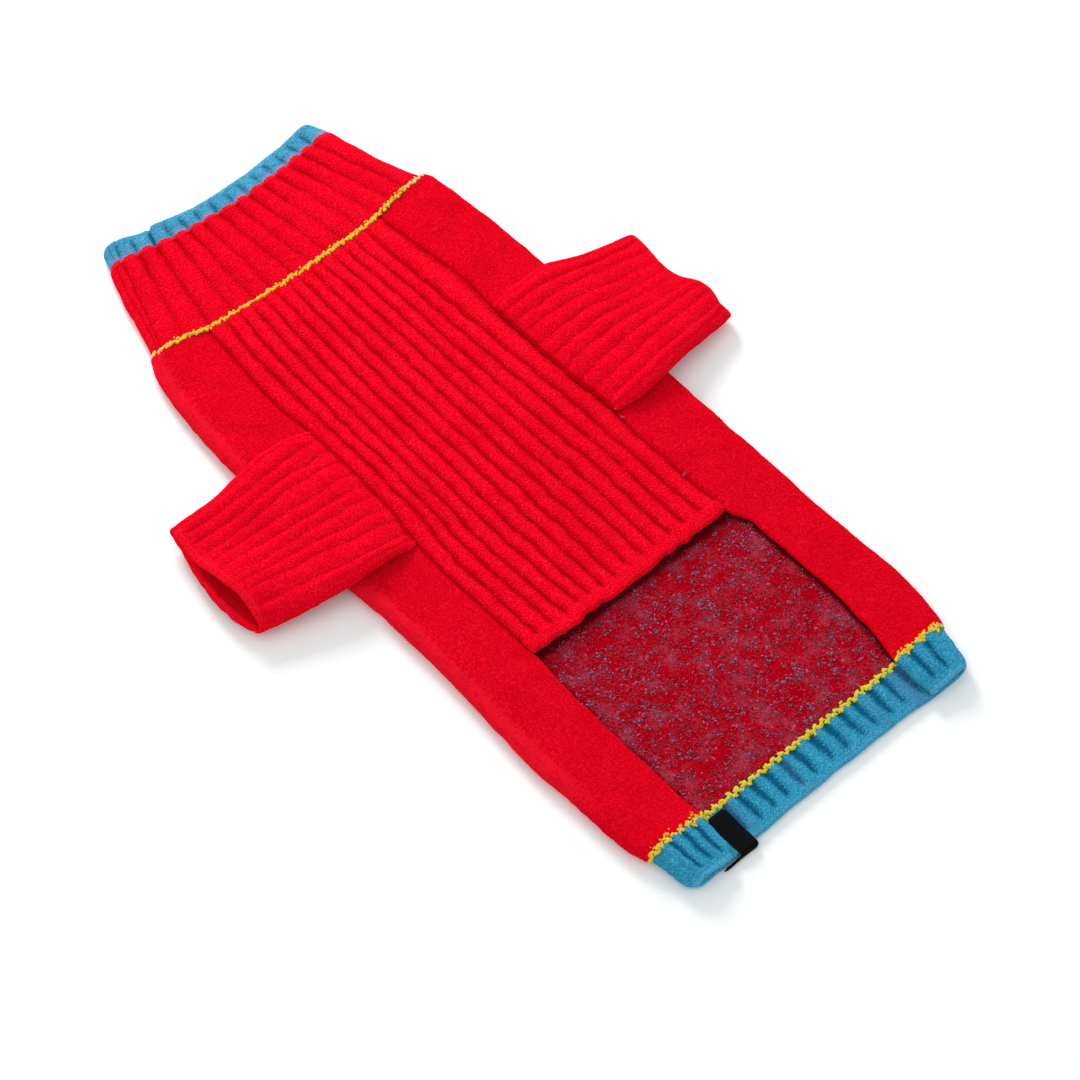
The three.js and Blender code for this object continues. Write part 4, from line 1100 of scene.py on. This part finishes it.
def neck_row(finish_with):
    line, outs = neck_seam_ring()
    centres, way, out, _ = along_line(line, outs, NECK_STITCH_PITCH, True)
    on_top = rising(centres[:, 2:], 2, 5)
    lift = 0.5 + 0.8 * rising(np.abs(centres[:, :1] + 2), 56, 70)
    centres = centres + out * mix(-0.6, lift, on_top)
    tones = row_tones(centres[:, 0], 5, 0.14, PALE_FROM["neck"])
    return joining_row(
        "neck_row", centres, way, out, 35, NECK_STITCH_HALF, tones, 7, finish_with, lean_spread=34, stray=0.5)


def hem_row(inner_face, finish_with):
    """Felted yarn in lemon teeth with darker gaps between them."""
    line, outs = hem_line(HEM_SEAM_Y - 0.1, inner_face)
    centres, way, out, at = along_line(line, outs, HEM_STITCH_PITCH, False)
    on_top = rising(centres[:, 2:], 1, 3)
    tooth = np.cos(2 * np.pi * at / HEM_TOOTH["period"] + 0.6 * np.sin(at / 11))
    shift = HEM_TOOTH["reach"] * tooth[:, None] * TOWARD_NECK
    centres = centres + shift + out * mix(-0.5, 0.35 + 0.3 * tooth[:, None], on_top)
    lemon = (0.95 if inner_face else 0.5) + 0.25 * tooth
    tones = row_tones(centres[:, 0], 15, lemon, PALE_FROM["hem"])
    name = "hem_row_inside" if inner_face else "hem_row"
    return joining_row(
        name, centres, way, out, 20, HEM_STITCH_HALF, tones, 17, finish_with, lean_spread=42, stray=0.42)


def curls(name, seam, count, aside, lemon, pale_from, seeds, finish_with):
    """Small curls of yarn beside a joining row where it is in sight, about aside from it."""
    tone_seed, seed = seeds
    rng = np.random.default_rng(seed)
    centres, way, out, _ = along_line(*seam, CURL_PITCH, False)
    shown = np.flatnonzero(centres[:, 2] > 4.5)
    chosen = rng.choice(shown, count, replace=False)
    centres, way, out = centres[chosen], way[chosen], out[chosen]
    from_row = aside + rng.normal(0, 0.8, (count, 1))
    centres = centres + TOWARD_NECK * from_row + out * (0.7 - 0.25 * np.abs(from_row))
    lean = rng.uniform(-90, 90, count)
    tones = row_tones(centres[:, 0], tone_seed, lemon, PALE_FROM[pale_from])
    return joining_row(name, centres, way, out, lean, CURL_HALF, tones, seed + 1, finish_with)


# Loose fibres

def scatter(outer, inner, ring, count, rng):
    """Places at random on a wall's outer face, each with the way out of the cloth."""
    out = normals(outer, 2 * outer - inner, ring)
    after = np.roll(outer, -1, axis=1) if ring else np.concatenate([outer[:, 1:], outer[:, -1:]], axis=1)
    spans = np.linalg.norm(after - outer, axis=-1)[:-1] * np.linalg.norm(np.diff(outer, axis=0), axis=-1)
    chosen = np.searchsorted(np.cumsum(spans) / spans.sum(), rng.random(count))
    i, j = np.unravel_index(np.minimum(chosen, spans.size - 1), spans.shape)
    u, v = rng.random((2, count, 1))
    next_j = (j + 1) % outer.shape[1] if ring else np.minimum(j + 1, outer.shape[1] - 1)
    place = mix(mix(outer[i, j], outer[i, next_j], u), mix(outer[i + 1, j], outer[i + 1, next_j], u), v)
    return place, out[i, j]


FIBRE_FACES = np.array((
    (0, 2, 1), (0, 1, 4), (0, 4, 3), (1, 2, 5), (1, 5, 4), (2, 0, 3), (2, 3, 5), (3, 4, 6), (4, 5, 6),
    (5, 3, 6)))
FIBRE_CORNERS = (0, 2.094, 4.189)      # angles round a fibre
FIBRE_NARROWING = 0.8


def fibres(name, start, middle, end, radius, tones, finish_with):
    """Many short bent fibres as one mesh, each thick at its root and pointed."""
    way = unit(middle - start)
    first = unit(np.cross(way, np.tile((0.3, 0.5, 0.81), (len(way), 1))))
    second = np.cross(way, first)
    ring = np.stack([math.cos(a) * first + math.sin(a) * second for a in FIBRE_CORNERS], axis=1)
    ring = ring * radius[:, None, None]
    root, bend = start[:, None] + ring, middle[:, None] + ring * FIBRE_NARROWING
    points = np.concatenate([root, bend, end[:, None]], axis=1)
    tones = np.repeat(tones, points.shape[1], axis=0)
    return many_objects_as_one(name, points, FIBRE_FACES, tones, finish_with)


NAP = {"length": 1.5, "lift": 0.4, "thickness": 0.06}
TONGUE_REACH = 4               # blue fibres stand only beyond the red tongues in the neck border


def nap(name, walls, per_square_mm, seed, finish_with):
    """The wool's standing fibres over these walls, except where the cloth lies on the floor."""
    rng = np.random.default_rng(seed)
    places, outs = [], []
    for outer, inner, ring in walls:
        across = np.linalg.norm(np.diff(outer, axis=1), axis=-1)[:-1]
        down = np.linalg.norm(np.diff(outer, axis=0), axis=-1)[:, 1:]
        place, out = scatter(outer, inner, ring, int((across * down).sum() * per_square_mm), rng)
        shown = (place[:, 2] > 0.7) & (out[:, 2] > -0.5)
        if ring and name == "blue_nap":
            shown &= place[:, 1] > column(COLLAR_END, "x", "y", place[:, 0]) + TONGUE_REACH
        places.append(place[shown])
        outs.append(out[shown])
    place, out = np.concatenate(places), np.concatenate(outs)
    count = len(place)
    side = unit(np.cross(out, rng.normal(0, 1, (count, 3))))
    turned = unit(side + 0.7 * unit(np.cross(out, rng.normal(0, 1, (count, 3)))))
    reach = NAP["length"] * rng.uniform(0.5, 1.2, (count, 1))
    start = place - 0.15 * out
    middle = start + out * NAP["lift"] * rng.uniform(0.5, 1.3, (count, 1)) + side * reach * 0.4
    end = middle + out * NAP["lift"] * rng.uniform(-0.5, 0.7, (count, 1)) + turned * reach * 0.6
    tones = points_of(rng.random(count), 0, 0)
    thickness = NAP["thickness"] * rng.uniform(0.7, 1.3, count)
    return fibres(name, start, middle, end, thickness, tones, finish_with)


def level(turn):
    """Level ways at these angles from +X."""
    return points_of(np.cos(turn), np.sin(turn), 0)


CUT_OUT = {"left": -60, "right": 62, "rear": -163, "front": -50}
TUFT_COUNT, TUFT_SEED = 13500, 23
TUFT_CLOUDS = ((9.0, 0.3), (3.0, 0.8))
BLUE_TUFT = {"longer": 0.4, "thicker": 0.2}


def inner_tufts(finish_with):
    """Short mauve, grey and bluish fibres on the inner face where the cut-out shows it, thicker in clouds."""
    rng = np.random.default_rng(TUFT_SEED)
    x = rng.uniform(CUT_OUT["left"], CUT_OUT["right"], TUFT_COUNT * 2)
    y = rng.uniform(CUT_OUT["rear"], CUT_OUT["front"], TUFT_COUNT * 2)
    place = points_of(x, y, JERSEY_WALL + 0.05)
    clouds = noises(place, TUFT_CLOUDS)
    kept = rng.random(len(x)) < (0.46 + 0.8 * clouds) * mix(0.15, 1, open_to_light(x, y))
    place, clouds = place[kept][:TUFT_COUNT], clouds[kept][:TUFT_COUNT]
    count = len(place)
    turn = rng.uniform(0, 2 * np.pi, count)
    bend = turn + rng.normal(0, 0.7, count)
    blue = (rng.random(count) < 0.03 + 0.1 * clouds).astype(float)
    reach = rng.uniform(0.5, 1.2, (count, 1)) * (1 + BLUE_TUFT["longer"] * blue[:, None])
    up = np.array((0, 0, 1)) * rng.uniform(0.12, 0.4, (count, 1))
    start = place - level(turn) * reach * 0.5
    end = place + level(bend) * reach * 0.7 + up * 0.2
    tones = points_of(rng.random(count) ** 1.6, blue, (rng.random(count) < 0.25) * 1.0)
    thickness = rng.uniform(0.11, 0.26, count) + BLUE_TUFT["thicker"] * blue
    return fibres("inner_tufts", start, place + up, end, thickness, tones, finish_with)


MAUVE_FLECKS = ((56.5, 11.6), (55.9, -30.6))
ORANGE_FLECKS = ((-60.5, -159.9),)
FLECK = {"fibres": 9, "spread": 0.35, "reach": 0.6, "thickness": 0.2}


def flecks(name, places, tone, seed, finish_with):
    """Stray tufts of wool on the upper layer."""
    rng = np.random.default_rng(seed)
    x, y = np.repeat(np.array(places), FLECK["fibres"], axis=0).T
    count = len(x)
    start = points_of(x, y, FLAP_EDGE_TOP + 0.2) + rng.normal(0, FLECK["spread"], (count, 3)) * (1, 1, 0)
    way = FLECK["reach"] * level(rng.uniform(0, 2 * np.pi, count))
    middle = start + way + (0, 0, 0.5)
    end = middle + way - (0, 0, 0.25)
    thickness = np.full(count, FLECK["thickness"])
    return fibres(name, start, middle, end, thickness, np.tile(tone, (count, 1)), finish_with)


# Materials

FIBRE_TURNS = ((0.2, 0.1, 0.5), (0.1, 0.3, 1.6), (0.3, 0.2, 2.6))


class Felt:
    """A material's nodes, added and linked in few words."""

    def __init__(self, name):
        self.material = bpy.data.materials.new(name)
        self.material.use_nodes = True
        self.tree = self.material.node_tree
        self.shader = self.tree.nodes["Principled BSDF"]

    def add(self, kind, inputs=None, **settings):
        made = self.tree.nodes.new("ShaderNode" + kind)
        for key, value in settings.items():
            setattr(made, key, value)
        for key, value in (inputs or {}).items():
            self.feed(made.inputs[key], value)
        return made

    def feed(self, socket, value):
        if isinstance(value, bpy.types.NodeSocket):
            self.tree.links.new(value, socket)
        else:
            socket.default_value = value

    def math(self, operation, *values):
        return self.add("Math", dict(enumerate(values)), operation=operation).outputs[0]

    def times(self, a, b):
        return self.math("MULTIPLY", a, b)

    def centred(self, value):
        """Noise or a wave from 0 to 1, moved to lie about 0."""
        return self.math("SUBTRACT", value, 0.5)

    def zigzag(self, value):
        """0 in the middle of each whole step of the value, and 0.5 at its ends."""
        return self.math("ABSOLUTE", self.centred(self.math("FRACT", value)))

    def total(self, *terms):
        """The sum of values, each times its own share."""
        result = 0.0
        for value, share in terms:
            result = self.math("MULTIPLY_ADD", value, share, result)
        return result

    def mix(self, share, a, b):
        """A share of colour b over colour a; each is a socket or three numbers."""
        a, b = (c if isinstance(c, bpy.types.NodeSocket) else (*c, 1) for c in (a, b))
        return self.add("Mix", {0: share, 6: a, 7: b}, data_type="RGBA").outputs[2]

    def ramp(self, value, low, high):
        """0 below low, 1 above high, and smooth between them; low may be the greater one."""
        return self.add("MapRange", {0: value, 1: low, 2: high}, interpolation_type="SMOOTHSTEP").outputs[0]

    def stain(self, tone, colour, value, low, high, share):
        """The colour over the tone, where the value ramps from low to high, and at most by the share."""
        return self.mix(self.times(self.ramp(value, low, high), share), tone, colour)

    def noise(self, vector, scale, detail):
        return self.add("TexNoise", {"Vector": vector, "Scale": scale, "Detail": detail}).outputs["Fac"]

    def millimetres(self):
        """Place on the object, in millimetres."""
        place = self.add("TexCoord").outputs["Object"]
        return self.add("VectorMath", {0: place, 1: (1000, 1000, 1000)}, operation="MULTIPLY").outputs[0]

    def attribute(self, name, output="Vector"):
        return self.add("Attribute", attribute_name=name).outputs[output]

    def parts(self, name):
        """An attribute's three numbers."""
        return self.add("SeparateXYZ", {0: self.attribute(name)}).outputs

    def stretched(self, vector, scale, turn):
        """The same place squeezed by scale and turned, for fibres that lie one way."""
        return self.add("Mapping", {"Vector": vector, "Rotation": turn, "Scale": scale}).outputs[0]

    def strokes(self, place, scale, detail):
        """Fibres that lie several ways, the lightest one on top."""
        lightest = 0.0
        for turn in FIBRE_TURNS:
            layer = self.noise(self.stretched(place, scale, turn), 1.0, detail)
            lightest = self.math("MAXIMUM", layer, lightest)
        return lightest

    def finish(self, tone, height, sheen, tint, roughness=0.9, depth=0.35, specular=0.0):
        """Colour, bump and nap on the shader. The bump's depth is in millimetres."""
        bump = self.add("Bump", {"Height": height, "Distance": depth * MM, "Strength": 0.9})
        settings = {
            "Base Color": tone, "Normal": bump.outputs[0], "Roughness": roughness,
            "Specular IOR Level": specular,
            "Sheen Weight": sheen, "Sheen Roughness": 0.45, "Sheen Tint": (*tint, 1)}
        for socket, value in settings.items():
            self.feed(self.shader.inputs[socket], value)
        return self.material


# Furrow colours are painted shade in the furrows; light colours are the nap's lighter fibres and painted
# highlights
RED_CREST, RED_FURROW, RED_LIGHT = (0.79, 0.0004, 0.011), (0.38, 0.0, 0.003), (0.93, 0.015, 0.036)
# A darker copy of the red rib's colours: painted shade on the sleeves and the collar, which are the same red
# wool
SHADED_RED_CREST, SHADED_RED_LIGHT = (0.74, 0.0003, 0.0105), (0.88, 0.012, 0.033)
JERSEY_CREST, JERSEY_FURROW, JERSEY_LIGHT = (0.66, 0.0004, 0.009), (0.4, 0.0, 0.003), (0.8, 0.008, 0.024)
BLUE_CREST, BLUE_FURROW, BLUE_LIGHT = (0.02, 0.26, 0.43), (0.001, 0.08, 0.17), (0.1, 0.41, 0.62)
NECK_CREST, NECK_FURROW, NECK_LIGHT = (0.042, 0.27, 0.435), (0.001, 0.07, 0.15), (0.14, 0.41, 0.61)
# The third inner colour is painted shade on the inner face
INNER_RED, INNER_DARK, INNER_SHADE = (0.52, 0.0, 0.01), (0.27, 0.0, 0.005), (0.07, 0.0, 0.002)
INNER_MAUVE, INNER_GREY, INNER_BLUE = (0.34, 0.052, 0.092), (0.3, 0.105, 0.17), (0.25, 0.17, 0.3)
YARN_GOLD, YARN_LEMON, YARN_PALE = (0.85, 0.47, 0.022), (0.62, 0.66, 0.035), (0.75, 0.62, 0.22)
# The brown is in the yarn's grain, and is painted shade on the lumps' lower sides
YARN_BROWN, YARN_SHEEN = (0.5, 0.2, 0.008), (1, 0.85, 0.4)
# The first colour is the sleeves' furrow shade, the second painted shade inside the sleeves
SLEEVE_FURROW, SLEEVE_PAINTED_SHADE = (0.42, 0.0, 0.004), (0.6, 0.0, 0.006)
LAVENDER, HEM_MAUVE = (0.24, 0.24, 0.46), (0.09, 0.15, 0.34)
LABEL_BLACK, LABEL_GREY, LABEL_SHEEN = (0.001, 0.001, 0.001), (0.003, 0.003, 0.003), (0.3, 0.3, 0.32)
FLOOR_WHITE = (0.955, 0.985, 0.985, 1)
WALE, COURSE = 1.9, 2.1


def wool(name, crest, furrow, light, sheen, jersey=False, tongues=False, tinted=False):
    """Felted knit: fuzzy fibres over faint stitches, lighter where the nap stands, with painted shade in the
    furrows and painted highlights where the rise passes 1.
    """
    felt = Felt(name)
    place = felt.millimetres()
    parts = felt.parts("cloth")
    grain = felt.noise(place, 1.15 if jersey else 1.35, 4.0)
    lumps = felt.noise(place, 0.5 if jersey else 0.32, 2.0)
    clouds = felt.noise(place, 0.06, 2.0)
    fuzz = felt.strokes(place, (3.4, 0.7, 2.0), 1.0)
    stitches = knit(felt, parts)
    rise = felt.total((parts[2], 1), (felt.centred(stitches), 0.2), (felt.centred(grain), 0.6))
    tone = felt.mix(felt.ramp(grain, 0.45, 0.72), crest, light)
    tone = felt.stain(tone, crest, lumps, 0.35, 0.7, 0.35)
    tone = felt.stain(tone, furrow, grain, 0.5, 0.34, 0.3)
    tone = felt.stain(tone, light, fuzz, 0.62, 0.78, 0.4)
    tone = felt.stain(tone, furrow, clouds, 0.4, 0.75, 0.2)
    # Painted shade in the furrows, and painted highlights on rims and folds whose rise passes 1
    tone = felt.stain(tone, furrow, rise, 0.95, 0.1, 0.95)
    tone = felt.stain(tone, light, rise, 1.1, 1.6, 0.8)
    if jersey:
        streaks = felt.noise(felt.stretched(felt.attribute("cloth"), (0.8, 0.14, 1), (0, 0, 0)), 1.0, 2.0)
        tone = felt.stain(tone, furrow, streaks, 0.5, 0.7, 0.3)
    if tinted:
        tinge = felt.times(felt.attribute("tint", "Fac"), felt.ramp(grain, 0.3, 0.6))
        tone = felt.mix(tinge, tone, HEM_MAUVE)
    if tongues:
        tone = red_tongues(felt, parts, grain, tone)
    shares = (0.5, 0.8, 0.12, 1.0) if jersey else (0.5, 0.8, 0.3, 0.6)
    height = felt.total(*zip((grain, fuzz, stitches, lumps), shares))
    return felt.finish(tone, height, sheen, light)


def knit(felt, parts):
    """Stockinette stitches, about 1 on their legs and 0 between the wales."""
    from_wale = felt.zigzag(felt.times(parts[0], 1 / WALE))
    lean = felt.total((parts[1], 1 / COURSE), (from_wale, 1.1))
    wave = felt.math("SINE", felt.times(lean, 2 * math.pi))
    legs = felt.math("MULTIPLY_ADD", wave, 0.5, 0.5)
    gap = felt.ramp(from_wale, 0.5, 0.34)
    return felt.times(legs, felt.math("MULTIPLY_ADD", gap, 0.6, 0.4))


def red_tongues(felt, parts, grain, tone):
    """The red ribs' last stitches reach into the blue border as rounded, toothed tongues."""
    tooth = felt.zigzag(felt.times(parts[0], 0.55))
    reach = felt.total((parts[2], 1.7), (tooth, 1.3), (felt.centred(grain), 1.6))
    past = felt.math("SUBTRACT", parts[1], reach)
    patches = felt.ramp(felt.noise(felt.millimetres(), 0.13, 1.0), 0.4, 0.62)
    tone = felt.stain(tone, LAVENDER, past, 4.2, 0.4, felt.times(patches, 0.7))
    return felt.mix(felt.ramp(past, 0.35, -0.1), tone, RED_CREST)


def inner_face():
    """Inner face of the red knit: dark red wool clouded with short mauve-grey and bluish fibres, with painted
    shade where its cloth attribute's third number is low.
    """
    felt = Felt("inner_face")
    place = felt.millimetres()
    grain = felt.noise(place, 1.3, 3.0)
    clouds = felt.centred(felt.noise(place, 0.11, 3.0))
    fuzz = felt.strokes(place, (2.6, 0.8, 1.5), 1.5)
    veil = felt.total((fuzz, 1), (clouds, 0.75))
    lit = felt.total((felt.parts("cloth")[2], 1), (clouds, 0.5))
    tone = felt.mix(felt.ramp(grain, 0.3, 0.7), INNER_DARK, INNER_RED)
    tone = felt.stain(tone, INNER_MAUVE, veil, 0.6, 0.7, 0.45)
    tone = felt.stain(tone, INNER_GREY, veil, 0.7, 0.85, 0.6)
    tone = felt.stain(tone, INNER_BLUE, felt.noise(place, 0.55, 1.0), 0.68, 0.74, 0.7)
    # Painted shade where the inner face lies under the cloth round the cut-out
    tone = felt.stain(tone, INNER_SHADE, lit, 0.95, 0.1, 0.85)
    return felt.finish(tone, felt.total((fuzz, 1), (grain, 0.6)), 0.12, INNER_MAUVE, depth=0.5)


def loose_wool(name, first, second, third, fourth):
    """Loose fibres of up to four colours, by each fibre's own tone."""
    felt = Felt(name)
    parts = felt.parts("tone")
    tone = felt.mix(parts[0], first, second)
    tone = felt.mix(parts[2], tone, fourth)
    tone = felt.mix(parts[1], tone, third)
    return felt.finish(tone, felt.noise(felt.millimetres(), 4.0, 1.0), 0.2, second, depth=0.05)


def woven_label():
    """Black ribbon with a fine satin weave."""
    felt = Felt("black_label")
    place = felt.millimetres()
    ribs = felt.add("TexWave", {"Vector": place, "Scale": 1.6, "Distortion": 0.4}, bands_direction="Y")
    grain = felt.noise(place, 3.0, 2.0)
    tone = felt.mix(grain, LABEL_BLACK, LABEL_GREY)
    height = felt.total((ribs.outputs["Fac"], 1), (grain, 1))
    return felt.finish(tone, height, 0.0, LABEL_SHEEN, roughness=0.7, depth=0.06, specular=0.06)


def yarn():
    """Twisted wool of the joining rows, by each bump's own tone."""
    felt = Felt("yarn")
    parts = felt.parts("tone")
    grain = felt.noise(felt.millimetres(), 2.2, 2.0)
    tone = felt.mix(parts[0], YARN_GOLD, YARN_LEMON)
    tone = felt.mix(parts[1], tone, YARN_PALE)
    # Painted shade: each lump's lower side turns brown
    tone = felt.mix(felt.ramp(parts[2], 0.6, 0.05), tone, YARN_BROWN)
    tone = felt.stain(tone, YARN_BROWN, grain, 0.45, 0.75, 0.35)
    return felt.finish(tone, grain, 0.3, YARN_SHEEN, depth=0.3)


red_rib = wool("red_rib", RED_CREST, RED_FURROW, RED_LIGHT, 0.25)
# Collar and sleeves take the darker copy of the red, as painted shade
collar_rib = wool("collar_rib", SHADED_RED_CREST, RED_FURROW, SHADED_RED_LIGHT, 0.25)
sleeve_rib = wool("sleeve_rib", SHADED_RED_CREST, SLEEVE_FURROW, SHADED_RED_LIGHT, 0.25)
# The sleeves' inside: painted shade, and painted light near the mouth's lower lip
sleeve_inside = wool("sleeve_inside", RED_CREST, SLEEVE_PAINTED_SHADE, RED_LIGHT, 0.1)
red_jersey = wool("red_jersey", JERSEY_CREST, JERSEY_FURROW, JERSEY_LIGHT, 0.2, jersey=True)
blue_rib = wool("blue_rib", BLUE_CREST, BLUE_FURROW, BLUE_LIGHT, 0.35, tinted=True)
blue_border = wool("blue_border", NECK_CREST, NECK_FURROW, NECK_LIGHT, 0.35, tongues=True)
ribbon = woven_label()
red_fibre = loose_wool("red_fibre", RED_CREST, RED_LIGHT, RED_LIGHT, RED_CREST)
blue_fibre = loose_wool("blue_fibre", BLUE_CREST, BLUE_LIGHT, BLUE_LIGHT, BLUE_CREST)
inner_fibre = loose_wool("inner_fibre", INNER_MAUVE, INNER_GREY, INNER_BLUE, INNER_RED)
inside = inner_face()
yarn_finish = yarn()


# Pieces

def cloth_piece(piece, node):
    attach(piece, "root")
    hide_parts(node)


def loose_piece(piece):
    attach(piece, "root")


cloth_piece(back_panel([red_jersey, inside]), "back_panel")
cloth_piece(belly_panel([red_rib, inside]), "belly_panel")
cloth_piece(neck_collar([collar_rib, inside]), "neck_collar")
cloth_piece(neck_border([blue_border]), "neck_border")
cloth_piece(hem_border([blue_rib]), "hem_border")
for side in ("left", "right"):
    tube = sleeve(side, [sleeve_rib, sleeve_inside])
    cloth_piece(tube, f"sleeve_{side}")
cloth_piece(label(ribbon), "label")

loose_piece(neck_row(yarn_finish))
CURLS = (
    {"name": "neck_curls", "seam": neck_seam_ring(), "count": 170, "aside": 0.6, "lemon": 0.35,
     "pale_from": "neck", "seeds": (9, 41)},
    {"name": "hem_curls", "seam": hem_line(HEM_SEAM_Y, False), "count": 60, "aside": 1.7, "lemon": -0.3,
     "pale_from": "nowhere", "seeds": (19, 45)})
for spec in CURLS:
    loose_piece(curls(**spec, finish_with=yarn_finish))
loose_piece(hem_row(False, yarn_finish))
loose_piece(hem_row(True, yarn_finish))
loose_piece(inner_tufts(inner_fibre))
loose_piece(flecks("mauve_flecks", MAUVE_FLECKS, (0.6, 0.5, 0.0), 51, inner_fibre))
loose_piece(flecks("orange_flecks", ORANGE_FLECKS, (0.0, 0.0, 0.4), 53, yarn_finish))

red_names = ("back_panel", "belly_panel", "sleeve_left", "sleeve_right", "neck_collar")
blue_names = ("neck_border", "hem_border")
red_walls, blue_walls = ([WALLS[f"{name}_cloth"] for name in names] for names in (red_names, blue_names))
loose_piece(nap("red_nap", red_walls, per_square_mm=0.07, seed=31, finish_with=red_fibre))
loose_piece(nap("blue_nap", blue_walls, per_square_mm=0.25, seed=33, finish_with=blue_fibre))


# Floor, light and camera

CAMERA = {"elevation": 56.0, "turn": -41.2, "distance": 1.2133, "lens": 90, "sensor": 36}
CAMERA_TARGET = Vector((-0.01018, -0.04449, 0))
AMBIENT_STRENGTH = 0.79
FLOOR_REACH, FLOOR_TOP = 4.0, -0.05 * MM


def floor():
    mesh = bpy.data.meshes.new("floor")
    corners = [(x * FLOOR_REACH, y * FLOOR_REACH, FLOOR_TOP) for x, y in ((-1, -1), (1, -1), (1, 1), (-1, 1))]
    mesh.from_pydata(corners, [], [(0, 1, 2, 3)])
    obj = bpy.data.objects.new("floor", mesh)
    bpy.context.scene.collection.objects.link(obj)
    paper = Felt("floor")
    paper.shader.inputs["Base Color"].default_value = FLOOR_WHITE
    paper.shader.inputs["Roughness"].default_value = 1.0
    paper.shader.inputs["Specular IOR Level"].default_value = 0.0
    mesh.materials.append(paper.material)


def area_light(name, azimuth, elevation, distance, size, watts):
    """A square light at this direction from the garment's middle, degrees from +Y toward +X."""
    a, e = math.radians(azimuth), math.radians(elevation)
    direction = Vector((math.sin(a) * math.cos(e), math.cos(a) * math.cos(e), math.sin(e)))
    data = bpy.data.lights.new(name, "AREA")
    data.shape = "SQUARE"
    data.size = size
    data.energy = watts
    light = bpy.data.objects.new(name, data)
    light.location = direction * distance
    light.rotation_euler = (-direction).to_track_quat("-Z", "Y").to_euler()
    bpy.context.scene.collection.objects.link(light)


def camera():
    elevation, turn = math.radians(CAMERA["elevation"]), math.radians(CAMERA["turn"])
    level_back = math.cos(elevation)
    back = Vector((math.sin(turn) * level_back, -math.cos(turn) * level_back, math.sin(elevation)))
    data = bpy.data.cameras.new("camera")
    data.lens = CAMERA["lens"]
    data.sensor_width = CAMERA["sensor"]
    obj = bpy.data.objects.new("camera", data)
    obj.location = CAMERA_TARGET + back * CAMERA["distance"]
    obj.rotation_euler = back.to_track_quat("Z", "Y").to_euler()
    bpy.context.scene.collection.objects.link(obj)
    bpy.context.scene.camera = obj


def studio():
    """Even white light from all round."""
    world = bpy.data.worlds.new("studio")
    world.use_nodes = True
    background = world.node_tree.nodes["Background"]
    background.inputs["Color"].default_value = (1, 1, 1, 1)
    background.inputs["Strength"].default_value = AMBIENT_STRENGTH
    bpy.context.scene.world = world


floor()
camera()
area_light("key", azimuth=18, elevation=26, distance=1.5, size=0.5, watts=20.5)
area_light("fill", azimuth=-80, elevation=45, distance=1.6, size=1.0, watts=2)
studio()
bpy.context.scene.view_settings.view_transform = "Standard"
